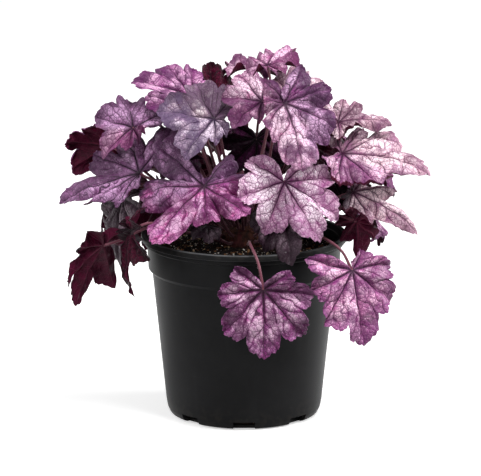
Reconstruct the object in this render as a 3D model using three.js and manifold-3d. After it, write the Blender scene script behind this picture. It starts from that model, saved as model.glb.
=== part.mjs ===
// A heuchera (coral bells) growing in a round nursery pot.
// Millimetres, +Z up. The origin is the centre of the pot's flat underside; -Y is the front.
// The pot, the soil, the woody crown and each leaf (stalk and blade in one) are separate closed solids.
import * as THREE from 'three';
import { mergeVertices } from 'three/addons/utils/BufferGeometryUtils.js';
import Module from 'manifold-3d';

const wasm = await Module();
wasm.setup();

// ---- driving dimensions -------------------------------------------------------------------------

const POT_HEIGHT = 150;
const LIP_RADIUS = 84; // outside of the rolled lip, the widest place
const LIP_HEIGHT = 4.6;
const LIP_EDGE = 0.8; // bevel of the lip's upper edge
const RIDGE_RADIUS = 81.3; // the low ridge under the lip
const RIDGE_BOTTOM = 142;
const BAND_RADIUS = 79; // the upright band under the ridge
const BAND_TAPER = 0.8; // how much the band narrows downwards
const BAND_BOTTOM = 122; // height of the step under the band
const STEP_HEIGHT = 3; // the slope from the band down to the tapered wall
const WALL_TOP_RADIUS = 75; // the tapered wall, just under the step
const WALL_FOOT_RADIUS = 63.5; // the tapered wall, just above the rounded foot
const FOOT_HEIGHT = 12; // top of the rounded foot
const FOOT_RADIUS = 57; // edge of the flat underside
const WALL = 1.6;
const FLOOR = 2.4;
const POT_SIDES = 40;

const NOTCHES = 8; // drain notches round the foot, one at the front
const NOTCH_WIDTH = 17.5;
const NOTCH_HEIGHT = 7;
const NOTCH_INNER_RADIUS = 54;

const SOIL_TOP = 141;
const SOIL_RISE = 1; // of the soil towards the crown
const SOIL_SIDES = 40;
const GAP = 0.35; // clearance between pieces that rest in or on each other
const NOTCH_GAP = 0.6; // clearance between the soil and the drain notches

const CROWN_RADIUS = 21;
const CROWN_RISE = 17; // above the soil
const CROWN_DEPTH = 8; // below it
const CROWN_SIDES = 12;
const STALK_SOCKET = 3; // how deep a leaf stalk sits in the crown
const SOCKET_GAP = 0.6; // round a stalk in its socket
const SOCKET_SIDES = 4;

const STALK_RADIUS = 1.35;
const STALK_SIDES = 5;
const STALK_STEPS = 6;
const STALK_STRAIGHT = 8; // length that leaves the crown before the first bend
const STALK_NECK = 22; // length of the last bend, up to the blade
const STALK_END = 0.05; // depth of a stalk's end under the blade's middle surface
const STALK_CLIMB = [14, 80]; // least and greatest slope at which a stalk leaves the crown, in degrees
const ARRIVAL = { forward: 0.55, upward: 0.85 }; // how a stalk comes up to its blade
const BLADE = 0.75; // thickness of a leaf blade
const SLIVER = 0.05; // edges shorter than this are merged after a join or a cut

// ---- small tools --------------------------------------------------------------------------------

const deg = THREE.MathUtils.degToRad;
const vec = (x, y, z) => new THREE.Vector3(x, y, z);

// A closed three.js geometry as a manifold-3d solid.
function solid(geometry) {
  const bare = geometry.clone();
  bare.deleteAttribute('uv');
  bare.deleteAttribute('normal');
  const merged = mergeVertices(bare, 1e-4);
  return new wasm.Manifold(new wasm.Mesh({
    numProp: 3,
    vertProperties: merged.attributes.position.array,
    triVerts: new Uint32Array(merged.index.array),
  }));
}

// The largest piece of a solid, without the specks and slivers that a join leaves behind.
function mainBody(body) {
  const pieces = body.simplify(SLIVER).decompose();
  return pieces.reduce((best, piece) => (piece.volume() > best.volume() ? piece : best));
}

// A manifold-3d solid as a three.js geometry.
function geometryOf(body) {
  const mesh = body.getMesh();
  const geometry = new THREE.BufferGeometry();
  geometry.setAttribute('position', new THREE.BufferAttribute(mesh.vertProperties, 3));
  geometry.setIndex(new THREE.BufferAttribute(mesh.triVerts, 1));
  geometry.computeVertexNormals();
  return geometry;
}

function named(name, geometry, material) {
  const mesh = new THREE.Mesh(geometry, material);
  mesh.name = name;
  return mesh;
}

// A solid of revolution about Z from [radius, height] pairs, listed from the bottom up the outside.
function turned(profile, sides) {
  const lathe = new THREE.LatheGeometry(profile.map(([r, z]) => new THREE.Vector2(r, z)), sides);
  return lathe.rotateX(Math.PI / 2);
}

// ---- pot ----------------------------------------------------------------------------------------

// Outside radius of the tapered wall at a height.
function wallRadius(z) {
  const share = (z - NOTCH_HEIGHT) / (BAND_BOTTOM - NOTCH_HEIGHT);
  return WALL_FOOT_RADIUS + (WALL_TOP_RADIUS - WALL_FOOT_RADIUS) * share;
}

// Blocks in a ring round the foot, grown by a margin on every side.
function notchRing(margin) {
  const length = LIP_RADIUS - NOTCH_INNER_RADIUS;
  const blocks = Array.from({ length: NOTCHES }, (_, i) => {
    const height = 2 * (NOTCH_HEIGHT + margin);
    const block = new THREE.BoxGeometry(length + margin, NOTCH_WIDTH + 2 * margin, height);
    block.translate(NOTCH_INNER_RADIUS + (length - margin) / 2, 0, 0);
    return solid(block.rotateZ(2 * Math.PI * i / NOTCHES - Math.PI / 2));
  });
  return wasm.Manifold.union(blocks);
}

function pot() {
  const outside = [
    [0, 0], [FOOT_RADIUS, 0], [FOOT_RADIUS + 4, 1.6], [WALL_FOOT_RADIUS - 0.6, 5.5],
    [wallRadius(FOOT_HEIGHT), FOOT_HEIGHT], [WALL_TOP_RADIUS, BAND_BOTTOM - STEP_HEIGHT],
    [BAND_RADIUS - BAND_TAPER, BAND_BOTTOM], [BAND_RADIUS, RIDGE_BOTTOM - 1],
    [RIDGE_RADIUS, RIDGE_BOTTOM], [RIDGE_RADIUS, POT_HEIGHT - LIP_HEIGHT],
    [LIP_RADIUS, POT_HEIGHT - LIP_HEIGHT], [LIP_RADIUS, POT_HEIGHT - LIP_EDGE],
    [LIP_RADIUS - LIP_EDGE, POT_HEIGHT],
  ];
  const inside = [
    [RIDGE_RADIUS - LIP_EDGE, POT_HEIGHT], [BAND_RADIUS - WALL, RIDGE_BOTTOM + 2],
    [BAND_RADIUS - BAND_TAPER - WALL, BAND_BOTTOM],
    [WALL_TOP_RADIUS - WALL, BAND_BOTTOM - STEP_HEIGHT],
    [wallRadius(FOOT_HEIGHT) - WALL, FOOT_HEIGHT], [FOOT_RADIUS, FLOOR], [0, FLOOR],
  ];
  return mainBody(solid(turned([...outside, ...inside], POT_SIDES)).subtract(notchRing(0)));
}

// ---- soil and crown -----------------------------------------------------------------------------

function soil(stalkHoles) {
  const inset = WALL + GAP;
  const profile = [
    [0, FLOOR + GAP], [FOOT_RADIUS - 1, FLOOR + GAP],
    [wallRadius(FOOT_HEIGHT) - inset, FOOT_HEIGHT],
    [WALL_TOP_RADIUS - inset, BAND_BOTTOM - STEP_HEIGHT + GAP],
    [BAND_RADIUS - BAND_TAPER - inset, BAND_BOTTOM + GAP],
    [BAND_RADIUS - BAND_TAPER - inset, SOIL_TOP - SOIL_RISE],
    [BAND_RADIUS - 12, SOIL_TOP - 0.5 * SOIL_RISE],
    [CROWN_RADIUS + GAP, SOIL_TOP + SOIL_RISE],
    [CROWN_RADIUS + GAP, SOIL_TOP - CROWN_DEPTH - GAP], [0, SOIL_TOP - CROWN_DEPTH - GAP],
  ];
  const cuts = wasm.Manifold.union(notchRing(NOTCH_GAP), stalkHoles);
  return mainBody(solid(turned(profile, SOIL_SIDES)).subtract(cuts));
}

// The short woody stock that every leaf stalk springs from.
function crown(stalkHoles) {
  const dome = [20, 42, 66].map(deg).map((a) => [
    CROWN_RADIUS * Math.cos(a), SOIL_TOP + CROWN_RISE * Math.sin(a),
  ]);
  const profile = [
    [0, SOIL_TOP - CROWN_DEPTH], [CROWN_RADIUS - 1.5, SOIL_TOP - CROWN_DEPTH],
    [CROWN_RADIUS, SOIL_TOP], ...dome, [0, SOIL_TOP + CROWN_RISE],
  ];
  return mainBody(solid(turned(profile, CROWN_SIDES)).subtract(stalkHoles));
}

// ---- leaves -------------------------------------------------------------------------------------
//
// A blade is drawn in polar form round its junction with the stalk. The angle is counted in lobes:
// 0 is the tip lobe, +-1 to +-3 the side lobes, and the outline closes at +-4 beside the stalk.

const LOBES = 3; // on each side of the tip lobe
const CLOSED = 0.14; // reach of the outline where it closes beside the stalk
const TOOTH = 0.055; // depth of the teeth, as a share of the reach
const TOOTH_MEAN = 0.6; // of the wave that draws the teeth, so that they don't enlarge the leaf
const TEETH = 3; // to each lobe
const UNEVEN = { depth: 0.06, rate: 2.2 }; // the margin's wander in and out: share of the reach, per lobe
const CRINKLE = { height: 0.7, turns: 3.7 }; // the second, finer wave, against the first
const FOLD_POWER = 1.25; // how the folds grow from junction to margin
const FOLD_ROUNDING = 0.04; // how round the bottom of a fold is
const FOLD_MEAN = 0.6; // of the wave that draws the folds
const CRUMPLE = { height: 1.9, length: 5, seed: 20 }; // the uneven waves all over a blade
const ROLL_START = 0.76; // share of the way out where the margin starts to turn
const ROLL = { spread: 40, rate: 1.9, seed: 60 }; // how the turn differs round a leaf, in degrees
const CURL_POWER = 2; // how soon, away from the tip, the fall of the sides begins
const EDGE_POWER = 0.6; // the same for the turn of the side margins
const DRAWS = { wave: 1, crinkle: 2, lift: 10, sway: 20 }; // first draw that each use takes
const WAVES = 5; // plane waves in a wander
const WAVE_GAIN = 1.6; // brings their mean to a reach of about 1
const EVEN = [0.6, 0.74, 0.86, 1, 0.86, 0.74, 0.6]; // reach of the lobes from -3 to 3
const SLIM = [0.4, 0.5, 0.65, 1, 0.65, 0.5, 0.4];

// What a leaf has unless its row says otherwise. Angles in degrees, waves in millimetres.
const USUAL = {
  reach: EVEN, // of the seven lobes, as a share of size
  fan: [42, 42], // angle between lobes on the minus and the plus side
  notch: 0.24, // depth of the cut between lobes
  full: 3, // the higher, the rounder the lobes and the sharper the cuts between them
  cup: 8, // rise at the junction
  curl: [15, 10, 10, 5], // fall at the tip, plus side, minus side and back
  edge: [0, 0, 0, 0], // turn of the margin upwards at the tip, plus side, minus side and back
  ruffle: 8, // height of the folds: valleys along the main veins, or between the lobes if below 0
  wave: 2.5,
  lift: 0.09, // how far one lobe may stand above or below another, as a share of size
  droop: 0.05, // how far the ends of the lobes hang, as a share of size
  sway: 6, // how far a lobe may lean towards its neighbour
  via: [], // points that the stalk passes
};

// Each row: name, junction, [heading, pitch, roll] of the tip, length of the tip lobe, tone, the rest.
// Heading is counted from +X towards +Y. Roll turns the blade about its tip line.
const LEAVES = [
  // hanging over the front of the pot
  ['leaf_01', [15, -97, 126], [-90, -84, 3], 56, 'purple', {
    reach: [0.46, 0.66, 0.86, 0.97, 0.86, 0.66, 0.5], fan: [42, 42], notch: 0.22, full: 2.2, cup: 4,
    curl: [6, 4, 4, 4], ruffle: 5, wave: 1, lift: 0.04, droop: 0.02, sway: 3,
    via: [[5, -78, 158], [11, -92, 147]] }],
  ['leaf_02', [86, -72, 136], [-38, -76, 22], 62, 'pink', {
    reach: [0.36, 0.58, 0.74, 0.97, 0.86, 0.62, 0.66], fan: [44, 38], notch: 0.17, full: 2.4,
    cup: 4, curl: [8, 4, 4, 4], ruffle: 6, wave: 1, lift: 0.04, droop: 0.02, sway: 3,
    via: [[45, -44, 160], [65, -58, 158], [78, -67, 150]] }],
  ['leaf_03', [30, -58, 181], [-72, -42, 18], 46, 'grey', {
    reach: [0.4, 0.55, 0.78, 1, 0.8, 0.6, 0.4], notch: 0.16, full: 2.2, curl: [30, 20, 20, 10] }],
  // facing the front
  ['leaf_04', [32, -55, 204], [-50, -45, 22], 60, 'silver', {
    reach: [0.45, 0.62, 0.84, 0.92, 0.68, 0.64, 0.56], fan: [36, 49], curl: [20, 10, 5, 5],
    ruffle: 9 }],
  ['leaf_05', [-32, -51, 200], [-85, -44, 12], 56, 'pink', {
    reach: [0.6, 0.66, 0.84, 0.62, 1.2, 1, 0.92], fan: [44, 46], curl: [25, 22, 12, 5], notch: 0.38,
    ruffle: -14 }],
  // left side
  ['leaf_06', [-84, -30, 206], [-172, -15, -36], 67, 'purple', {
    reach: [0.36, 0.55, 0.8, 1, 0.62, 0.66, 0.75], fan: [20, 46], notch: 0.32, full: 2,
    curl: [5, 12, 15, 5], ruffle: -10, edge: [10, 0, 40, 0] }],
  ['leaf_07', [-89, -32, 243], [-150, -22, -40], 36, 'pink', {
    reach: [0.3, 0.3, 0.5, 0.85, 0.82, 0.8, 0.85], fan: [42, 60], curl: [20, 10, 15, 5],
    root: [150, 44], via: [[-44, 21, 210], [-72, 5, 241], [-85, -20, 250]], ruffle: 9 }],
  ['leaf_08', [-109, 26, 217], [165, -28, 60], 40, 'burgundy', {
    reach: [0.6, 0.8, 1, 1, 0.7, 0.6, 0.5], curl: [20, 10, 15, 5], edge: [-100, -90, -40, 0] }],
  ['leaf_09', [-44, -12, 265], [178, 24, -50], 47, 'pink', {
    reach: [0.3, 0.5, 0.75, 1, 0.8, 0.62, 0.5], curl: [15, 10, 15, 5] }],
  // upper front
  ['leaf_10', [-24, -45, 253], [-130, -25, -35], 42, 'silver', {
    reach: [0.3, 0.35, 0.5, 0.95, 0.98, 0.9, 0.75], fan: [44, 58], curl: [20, 10, 15, 5] }],
  ['leaf_11', [14, -38, 266], [-150, -25, -45], 32, 'silver', {
    root: [-78, 74], reach: [0.35, 0.35, 0.45, 1, 1, 1, 0.8], fan: [42, 46], curl: [20, 10, 15, 5] }],
  ['leaf_12', [32, -55, 268], [-60, -50, 25], 61, 'pink', {
    root: [-34, 60], reach: [0.55, 0.62, 0.76, 1, 0.42, 0.28, 0.42], fan: [46, 56],
    curl: [10, 10, 10, 5], ruffle: -13 }],
  // top
  ['leaf_13', [19, -4, 289], [75, 24, -12], 35, 'pink', {
    root: [4, 78], reach: [0.5, 0.6, 0.74, 1, 0.86, 0.74, 0.6] }],
  ['leaf_14', [-26, 14, 255], [92, 60, 0], 35, 'burgundy', { curl: [0, 10, -20, 5], ruffle: 9 }],
  ['leaf_15', [38, 6, 260], [20, 28, 45], 35, 'silver', {}],
  // right side
  ['leaf_16', [76, -10, 244], [-10, 6, 30], 46, 'silver', {
    reach: [0.85, 0.58, 0.46, 1, 0.46, 0.5, 0.4], notch: 0.35, full: 2, curl: [20, 10, 10, 5],
    ruffle: -7, edge: [-60, 110, 0, 0], via: [[60, 6, 226]] }],
  ['leaf_17', [79, -30, 222], [-10, -4, 30], 72, 'pink', {
    reach: [0.4, 0.52, 0.7, 1, 0.74, 0.6, 0.3], fan: [40, 44], full: 2, curl: [14, 8, 15, 5],
    ruffle: -10, edge: [-20, 110, 0, 0] }],
  ['leaf_18', [87, -40, 193], [-15, -23, 36], 62, 'grey', {
    reach: [0.35, 0.34, 0.6, 1, 0.7, 0.45, 0.22], fan: [38, 38], notch: 0.45, full: 1.3,
    curl: [10, 8, 12, 5], ruffle: -9, edge: [-30, 100, 0, 0] }],
  ['leaf_19', [91, -40, 169], [60, -80, 0], 29, 'burgundy', {
    reach: [0.5, 0.6, 0.7, 1, 0.7, 0.6, 0.5], curl: [10, 10, 10, 5],
    via: [[74, -34, 172], [85, -38, 170]], root: [-10, 14] }],
  // hanging on the left
  ['leaf_20', [-98, -8, 180], [-165, -76, -20], 56, 'grey', { reach: SLIM, curl: [10, 10, 10, 5] }],
  ['leaf_21', [-113, -48, 151], [170, -58, 28], 54, 'burgundy', {
    reach: [0.55, 0.6, 0.85, 1, 1, 0.5, 0.4], notch: 0.38, full: 1.8, fan: [42, 54],
    curl: [10, 10, 10, 5], via: [[-72, -33, 163], [-99, -44, 154]] }],
  ['leaf_22', [-90, -62, 166], [-150, -80, 6], 52, 'burgundy', {
    reach: [0.4, 0.4, 0.6, 1, 0.3, 0.26, 0.3], fan: [55, 42], notch: 0.34, full: 2,
    curl: [10, 10, 10, 5], via: [[-58, -44, 164], [-77, -58, 171]] }],
  // small and inner leaves
  ['leaf_23', [-29, -50, 167], [-130, -20, -30], 18, 'grey', { ruffle: 1, wave: 1 }],
  ['leaf_24', [10, 0, 228], [-90, -88, 0], 38, 'burgundy', {
    root: [-94, 60], via: [[0, -15, 176], [8, 4, 212]] }],
  ['leaf_25', [68, 3, 198], [-30, -45, 20], 30, 'burgundy', { root: [-7, 38] }],
  // low round the back
  ['leaf_26', [95, 8, 180], [4, -64, 5], 47, 'purple', {}],
  ['leaf_27', [79, 64, 182], [40, -58, -6], 52, 'pink', {}],
  ['leaf_28', [30, 88, 166], [71, -64, 4], 52, 'purple', {}],
  ['leaf_29', [-23, 99, 184], [103, -58, -4], 50, 'silver', {}],
  ['leaf_30', [-64, 64, 166], [135, -64, 4], 52, 'purple', {}],
  ['leaf_31', [-95, 36, 182], [158, -60, -6], 45, 'grey', {}],
  // halfway up round the back
  ['leaf_32', [90, 22, 212], [16, -30, 8], 50, 'purple', { root: [24, 22] }],
  ['leaf_33', [46, 72, 210], [57, -32, -8], 52, 'pink', {}],
  ['leaf_34', [-36, 80, 214], [108, -26, 6], 46, 'pink', {}],
  ['leaf_35', [-72, 55, 203], [140, -36, -6], 50, 'purple', {}],
  // upper back
  ['leaf_36', [48, 38, 246], [40, -14, 6], 48, 'pink', {}],
  ['leaf_37', [15, 55, 255], [74, -16, -6], 50, 'silver', {}],
  ['leaf_38', [-39, 47, 262], [126, -12, 4], 43, 'pink', {}],
  ['leaf_39', [-61, 19, 253], [170, -16, -4], 40, 'purple', {}],
  ['leaf_40', [4, 30, 281], [86, -2, 0], 33, 'silver', {}],
  // inside the plant
  ['leaf_41', [-46, -12, 213], [-150, -20, -20], 26, 'burgundy', { root: [193, 48] }],
  ['leaf_42', [54, 34, 208], [46, -30, 6], 29, 'burgundy', { root: [34, 40] }],
].map(([name, at, aim, size, tone, rest], seed) => (
  { ...USUAL, name, at: vec(...at), aim, size, tone, seed, ...rest }
));

// A repeatable draw between 0 and 1 for a leaf.
function draw(leaf, k) {
  const v = Math.sin(leaf.seed * 12.9898 + k * 78.233) * 43758.5453;
  return v - Math.floor(v);
}

// The blade's own axes: tip line, side line (towards the plus lobes) and upper normal.
function bladeAxes(leaf) {
  const [heading, pitch, roll] = leaf.aim.map(deg);
  const tip = vec(
    Math.cos(pitch) * Math.cos(heading), Math.cos(pitch) * Math.sin(heading), Math.sin(pitch));
  const up = vec(
    -Math.sin(pitch) * Math.cos(heading), -Math.sin(pitch) * Math.sin(heading), Math.cos(pitch));
  const side = tip.clone().cross(up);
  const normal = up.clone().multiplyScalar(Math.cos(roll)).addScaledVector(side, Math.sin(roll));
  side.multiplyScalar(Math.cos(roll)).addScaledVector(up, -Math.sin(roll));
  return { tip, side, normal };
}

const smooth = (f) => f * f * (3 - 2 * f);

// A smooth repeatable wander between about -1 and 1, one wave to about 6.3 units: the mean of plane
// waves whose headings, rates and phases differ.
function wobble(u, v, seed) {
  let total = 0;
  for (let k = 0; k < WAVES; k += 1) {
    const heading = 2.4 * k + 1.7 * seed;
    const rate = 0.7 + 0.35 * k;
    const phase = 5.1 * k + 2.3 * seed;
    total += Math.sin(rate * (u * Math.cos(heading) + v * Math.sin(heading)) + phase);
  }
  return WAVE_GAIN * total / WAVES;
}

// A value for each lobe from -4 to 4, carried smoothly from lobe to lobe.
function betweenLobes(values, lobe) {
  const first = Math.min(Math.max(Math.floor(lobe + LOBES + 1), 0), values.length - 2);
  return values[first] + (values[first + 1] - values[first]) * smooth(lobe + LOBES + 1 - first);
}

// A draw between -1 and 1 for each lobe.
function lobeDraws(leaf, first, lobe) {
  return betweenLobes(Array.from({ length: 2 * LOBES + 3 }, (_, k) => 2 * draw(leaf, first + k) - 1), lobe);
}

// Degrees for the tip, plus side, minus side and back, blended round a leaf, in radians.
function roundLeaf(angle, values, power) {
  const [tip, plus, minus, back] = values.map(deg);
  const aside = Math.abs(Math.sin(angle)) ** power;
  return (Math.cos(angle) > 0 ? tip : back) * (1 - aside) + (angle > 0 ? plus : minus) * aside;
}

// The folds round a blade, from about -0.5 to 0.5.
function fold(leaf, lobe) {
  const crest = leaf.ruffle > 0 ? Math.sin(Math.PI * lobe) : Math.cos(Math.PI * lobe);
  const wave = Math.sqrt(crest ** 2 * (1 - FOLD_ROUNDING) + FOLD_ROUNDING) - FOLD_MEAN;
  return Math.sign(leaf.ruffle) * wave;
}

// Reach of the margin at an angle counted in lobes, as a share of the leaf's size.
function marginReach(leaf, lobe) {
  const nearest = Math.min(Math.max(Math.round(lobe), -LOBES), LOBES);
  const off = Math.min(1, 2 * Math.abs(lobe - nearest));
  const tooth = Math.abs(Math.cos(TEETH * Math.PI * lobe)) - TOOTH_MEAN;
  return betweenLobes([CLOSED, ...leaf.reach, CLOSED], lobe) * (1 - leaf.notch * off ** leaf.full)
    * (1 + TOOTH * tooth) * (1 + UNEVEN.depth * wobble(UNEVEN.rate * lobe, 0, leaf.size));
}

// How far out and how high the blade's smooth surface has come at a share of the way to the margin.
function bladeSection(leaf, lobe, angle, length, share) {
  const steps = 10;
  const rise = deg(leaf.cup);
  const fall = roundLeaf(angle, leaf.curl, CURL_POWER);
  const roll = roundLeaf(angle, leaf.edge, EDGE_POWER)
    + deg(ROLL.spread) * wobble(ROLL.rate * lobe, 0, leaf.seed + ROLL.seed);
  let out = 0;
  let height = 0;
  for (let k = 0; k < steps; k += 1) {
    const here = share * (k + 0.5) / steps;
    const beyond = Math.max(0, (here - ROLL_START) / (1 - ROLL_START));
    const slope = rise - (fall + rise) * here + roll * smooth(beyond);
    out += length * share / steps * Math.cos(slope);
    height += length * share / steps * Math.sin(slope);
  }
  return [out, height];
}

// A point of the blade's middle surface: angle counted in lobes, and share of the way to the margin.
function bladePoint(leaf, lobe, share) {
  const angle = lobe * deg(leaf.fan[lobe > 0 ? 1 : 0]);
  const length = leaf.size * marginReach(leaf, lobe);
  const [out, smoothHeight] = bladeSection(leaf, lobe, angle, length, share);
  const u = length * share * Math.sin(angle) / CRUMPLE.length;
  const v = length * share * Math.cos(angle) / CRUMPLE.length;
  const turn = 2 * Math.PI;
  const height = smoothHeight
    + leaf.ruffle * share ** FOLD_POWER * fold(leaf, lobe)
    + leaf.lift * leaf.size * share ** 2 * lobeDraws(leaf, DRAWS.lift, lobe)
    - leaf.droop * leaf.size * share ** 4 * (0.5 + 0.5 * Math.cos(turn * lobe))
    + leaf.wave * share ** 2 * Math.sin(2 * angle + turn * draw(leaf, DRAWS.wave))
    + leaf.wave * CRINKLE.height * share ** 3
      * Math.sin(CRINKLE.turns * angle + turn * draw(leaf, DRAWS.crinkle))
    + CRUMPLE.height * share * wobble(u, v, leaf.seed + CRUMPLE.seed);
  const swung = angle + deg(leaf.sway) * share * lobeDraws(leaf, DRAWS.sway, lobe);
  return leaf.at.clone()
    .addScaledVector(leaf.axes.side, out * Math.sin(swung))
    .addScaledVector(leaf.axes.tip, out * Math.cos(swung))
    .addScaledVector(leaf.axes.normal, height);
}

// Unit normal of the blade's upper face, across the stretch that leads out to the point.
function bladeNormal(leaf, lobe, share) {
  const step = 0.02; // in lobes
  const stretch = 0.3; // as a share of the way out
  const outward = bladePoint(leaf, lobe, share).sub(bladePoint(leaf, lobe, share - stretch));
  const around = bladePoint(leaf, lobe + step, share).sub(bladePoint(leaf, lobe - step, share));
  return outward.cross(around).normalize().negate();
}

// Angles of the margin's points: each tooth's peak and foot, and peaks alone beside the stalk.
const HALF_TEETH = 2 * TEETH; // to a lobe
const MARGIN = [];
for (let k = -(LOBES + 1) * HALF_TEETH; k <= (LOBES + 1) * HALF_TEETH; k += 1) {
  if (Math.abs(k) <= 2 * HALF_TEETH || k % 2 === 0) MARGIN.push(k / HALF_TEETH);
}
const MIDDLE = Array.from({ length: 2 * LOBES + 3 }, (_, k) => k - LOBES - 1);
const MIDDLE_SHARE = 0.5; // where the middle ring of points lies, from junction to margin

// The blade: an upper and a lower face with the same triangles, and the edge between them.
function blade(leaf) {
  const spots = [
    { point: leaf.at, normal: leaf.axes.normal },
    ...MIDDLE.map((lobe) => ({
      point: bladePoint(leaf, lobe, MIDDLE_SHARE), normal: bladeNormal(leaf, lobe, MIDDLE_SHARE),
    })),
    ...MARGIN.map((lobe) => ({
      point: bladePoint(leaf, lobe, 1), normal: bladeNormal(leaf, lobe, 1),
    })),
  ];
  const triangles = [];
  const middle = (k) => 1 + k;
  const margin = (k) => 1 + MIDDLE.length + k;
  for (let k = 0; k + 1 < MIDDLE.length; k += 1) triangles.push([0, middle(k), middle(k + 1)]);
  let inner = 0;
  let outer = 0;
  while (inner + 1 < MIDDLE.length || outer + 1 < MARGIN.length) {
    const outerNext = outer + 1 < MARGIN.length
      && (inner + 1 >= MIDDLE.length || MARGIN[outer + 1] <= (MIDDLE[inner] + MIDDLE[inner + 1]) / 2
        || MARGIN[outer + 1] <= MIDDLE[inner]);
    if (outerNext) {
      triangles.push([middle(inner), margin(outer), margin(outer + 1)]);
      outer += 1;
    } else {
      triangles.push([middle(inner), margin(outer), middle(inner + 1)]);
      inner += 1;
    }
  }
  const rim = [0, middle(0), ...MARGIN.map((_, k) => margin(k)), middle(MIDDLE.length - 1)];
  const count = spots.length;
  const positions = [1, -1].flatMap((face) => spots.flatMap(({ point, normal }) => (
    point.clone().addScaledVector(normal, face * BLADE / 2).toArray())));
  const index = triangles.flatMap(([a, b, c]) => [a, c, b, a + count, b + count, c + count]);
  rim.forEach((a, k) => {
    const b = rim[(k + 1) % rim.length];
    index.push(a, b, b + count, a, b + count, a + count);
  });
  const geometry = new THREE.BufferGeometry();
  geometry.setAttribute('position', new THREE.Float32BufferAttribute(positions, 3));
  geometry.setIndex(index);
  return geometry;
}

// Where a stalk leaves the crown: the crown's centre, the way out and the point on its surface.
function stalkRoot(leaf) {
  const reach = Math.hypot(leaf.at.x, leaf.at.y);
  const climb = Math.atan2(leaf.at.z - SOIL_TOP - CROWN_RISE, reach);
  const [azimuth, elevation] = leaf.root
    ? leaf.root.map(deg)
    : [Math.atan2(leaf.at.y, leaf.at.x), THREE.MathUtils.clamp(climb, ...STALK_CLIMB.map(deg))];
  const way = vec(
    Math.cos(elevation) * Math.cos(azimuth), Math.cos(elevation) * Math.sin(azimuth),
    Math.sin(elevation));
  const surface = vec(CROWN_RADIUS * way.x, CROWN_RADIUS * way.y, SOIL_TOP + CROWN_RISE * way.z);
  return { way, surface };
}

// The stalk's line, from inside the crown to just under the blade's junction.
function stalkCurve(leaf) {
  const { way, surface } = stalkRoot(leaf);
  const { tip, normal } = leaf.axes;
  const end = leaf.at.clone().addScaledVector(normal, -STALK_END);
  const arrival = tip.clone().multiplyScalar(ARRIVAL.forward)
    .addScaledVector(normal, ARRIVAL.upward).normalize();
  const bends = leaf.via.length
    ? leaf.via.map((p) => vec(...p))
    : [leaf.at.clone().addScaledVector(arrival, -STALK_NECK)];
  return new THREE.CatmullRomCurve3([
    surface.clone().addScaledVector(way, -STALK_SOCKET),
    surface.clone().addScaledVector(way, STALK_STRAIGHT),
    ...bends, end,
  ], false, 'centripetal');
}

// A straight-sided bar of regular section along a curve.
function bar(sides, radius, steps, extrudePath) {
  const corners = Array.from({ length: sides }, (_, k) => (
    new THREE.Vector2(radius, 0).rotateAround(new THREE.Vector2(), 2 * Math.PI * k / sides)));
  return new THREE.ExtrudeGeometry(new THREE.Shape(corners), { steps, bevelEnabled: false, extrudePath });
}

const stalk = (leaf) => bar(STALK_SIDES, STALK_RADIUS, STALK_STEPS, stalkCurve(leaf));

// The hole that a stalk stands in: straight, as the stalk is where it leaves the crown.
function socket(leaf) {
  const { way, surface } = stalkRoot(leaf);
  const inner = surface.clone().addScaledVector(way, -STALK_SOCKET - SOCKET_GAP);
  const outer = surface.clone().addScaledVector(way, STALK_STRAIGHT);
  const radius = (STALK_RADIUS + SOCKET_GAP) / Math.cos(Math.PI / SOCKET_SIDES);
  return bar(SOCKET_SIDES, radius, 1, new THREE.LineCurve3(inner, outer));
}

LEAVES.forEach((leaf) => {
  leaf.axes = bladeAxes(leaf);
});

// ---- assembly -----------------------------------------------------------------------------------

const finish = (color, roughness) => new THREE.MeshStandardMaterial({ color, roughness, metalness: 0 });
const POT_PLASTIC = finish(0x222426, 0.5);
const SOIL_MIX = finish(0x2a1c15, 0.95);
const CROWN_WOOD = finish(0x4a2f26, 0.85);
const TONES = {
  pink: finish(0xb078a8, 0.6),
  silver: finish(0xc8a9c0, 0.6),
  purple: finish(0x84557f, 0.6),
  grey: finish(0x7c6a78, 0.6),
  burgundy: finish(0x4b1630, 0.5),
};

const stalkHoles = wasm.Manifold.union(LEAVES.map((leaf) => solid(socket(leaf))));

const plant = new THREE.Group();
plant.add(named('pot', geometryOf(pot()), POT_PLASTIC));
plant.add(named('soil', geometryOf(soil(stalkHoles)), SOIL_MIX));
plant.add(named('crown', geometryOf(crown(stalkHoles)), CROWN_WOOD));
LEAVES.forEach((leaf) => {
  const whole = mainBody(solid(blade(leaf)).add(solid(stalk(leaf))));
  plant.add(named(leaf.name, geometryOf(whole), TONES[leaf.tone]));
});

export default plant;
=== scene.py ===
"""A heuchera (coral bells) in a round nursery pot: the finished surfaces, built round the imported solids.

Lengths are millimetres until a mesh is written; the frame is +Z up with the pot's front towards -Y.
"""
import math
import random

import bmesh
import bpy
import numpy as np
from mathutils import Matrix, Vector


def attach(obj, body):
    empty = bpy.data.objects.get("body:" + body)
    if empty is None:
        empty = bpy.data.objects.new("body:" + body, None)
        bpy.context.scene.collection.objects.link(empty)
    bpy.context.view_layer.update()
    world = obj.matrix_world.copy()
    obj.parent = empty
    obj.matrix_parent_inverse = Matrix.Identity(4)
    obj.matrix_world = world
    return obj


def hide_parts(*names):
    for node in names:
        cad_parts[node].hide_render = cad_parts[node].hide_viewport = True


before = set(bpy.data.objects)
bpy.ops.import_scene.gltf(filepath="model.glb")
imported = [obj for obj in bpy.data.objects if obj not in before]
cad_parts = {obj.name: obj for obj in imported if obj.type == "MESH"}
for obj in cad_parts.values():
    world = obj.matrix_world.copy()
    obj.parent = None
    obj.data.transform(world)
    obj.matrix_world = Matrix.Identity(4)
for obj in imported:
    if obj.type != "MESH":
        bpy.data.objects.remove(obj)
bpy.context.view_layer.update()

MM = 0.001  # metres in a millimetre

# ---- sizes shared with the solids ------------------------------------------------------------------

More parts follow.
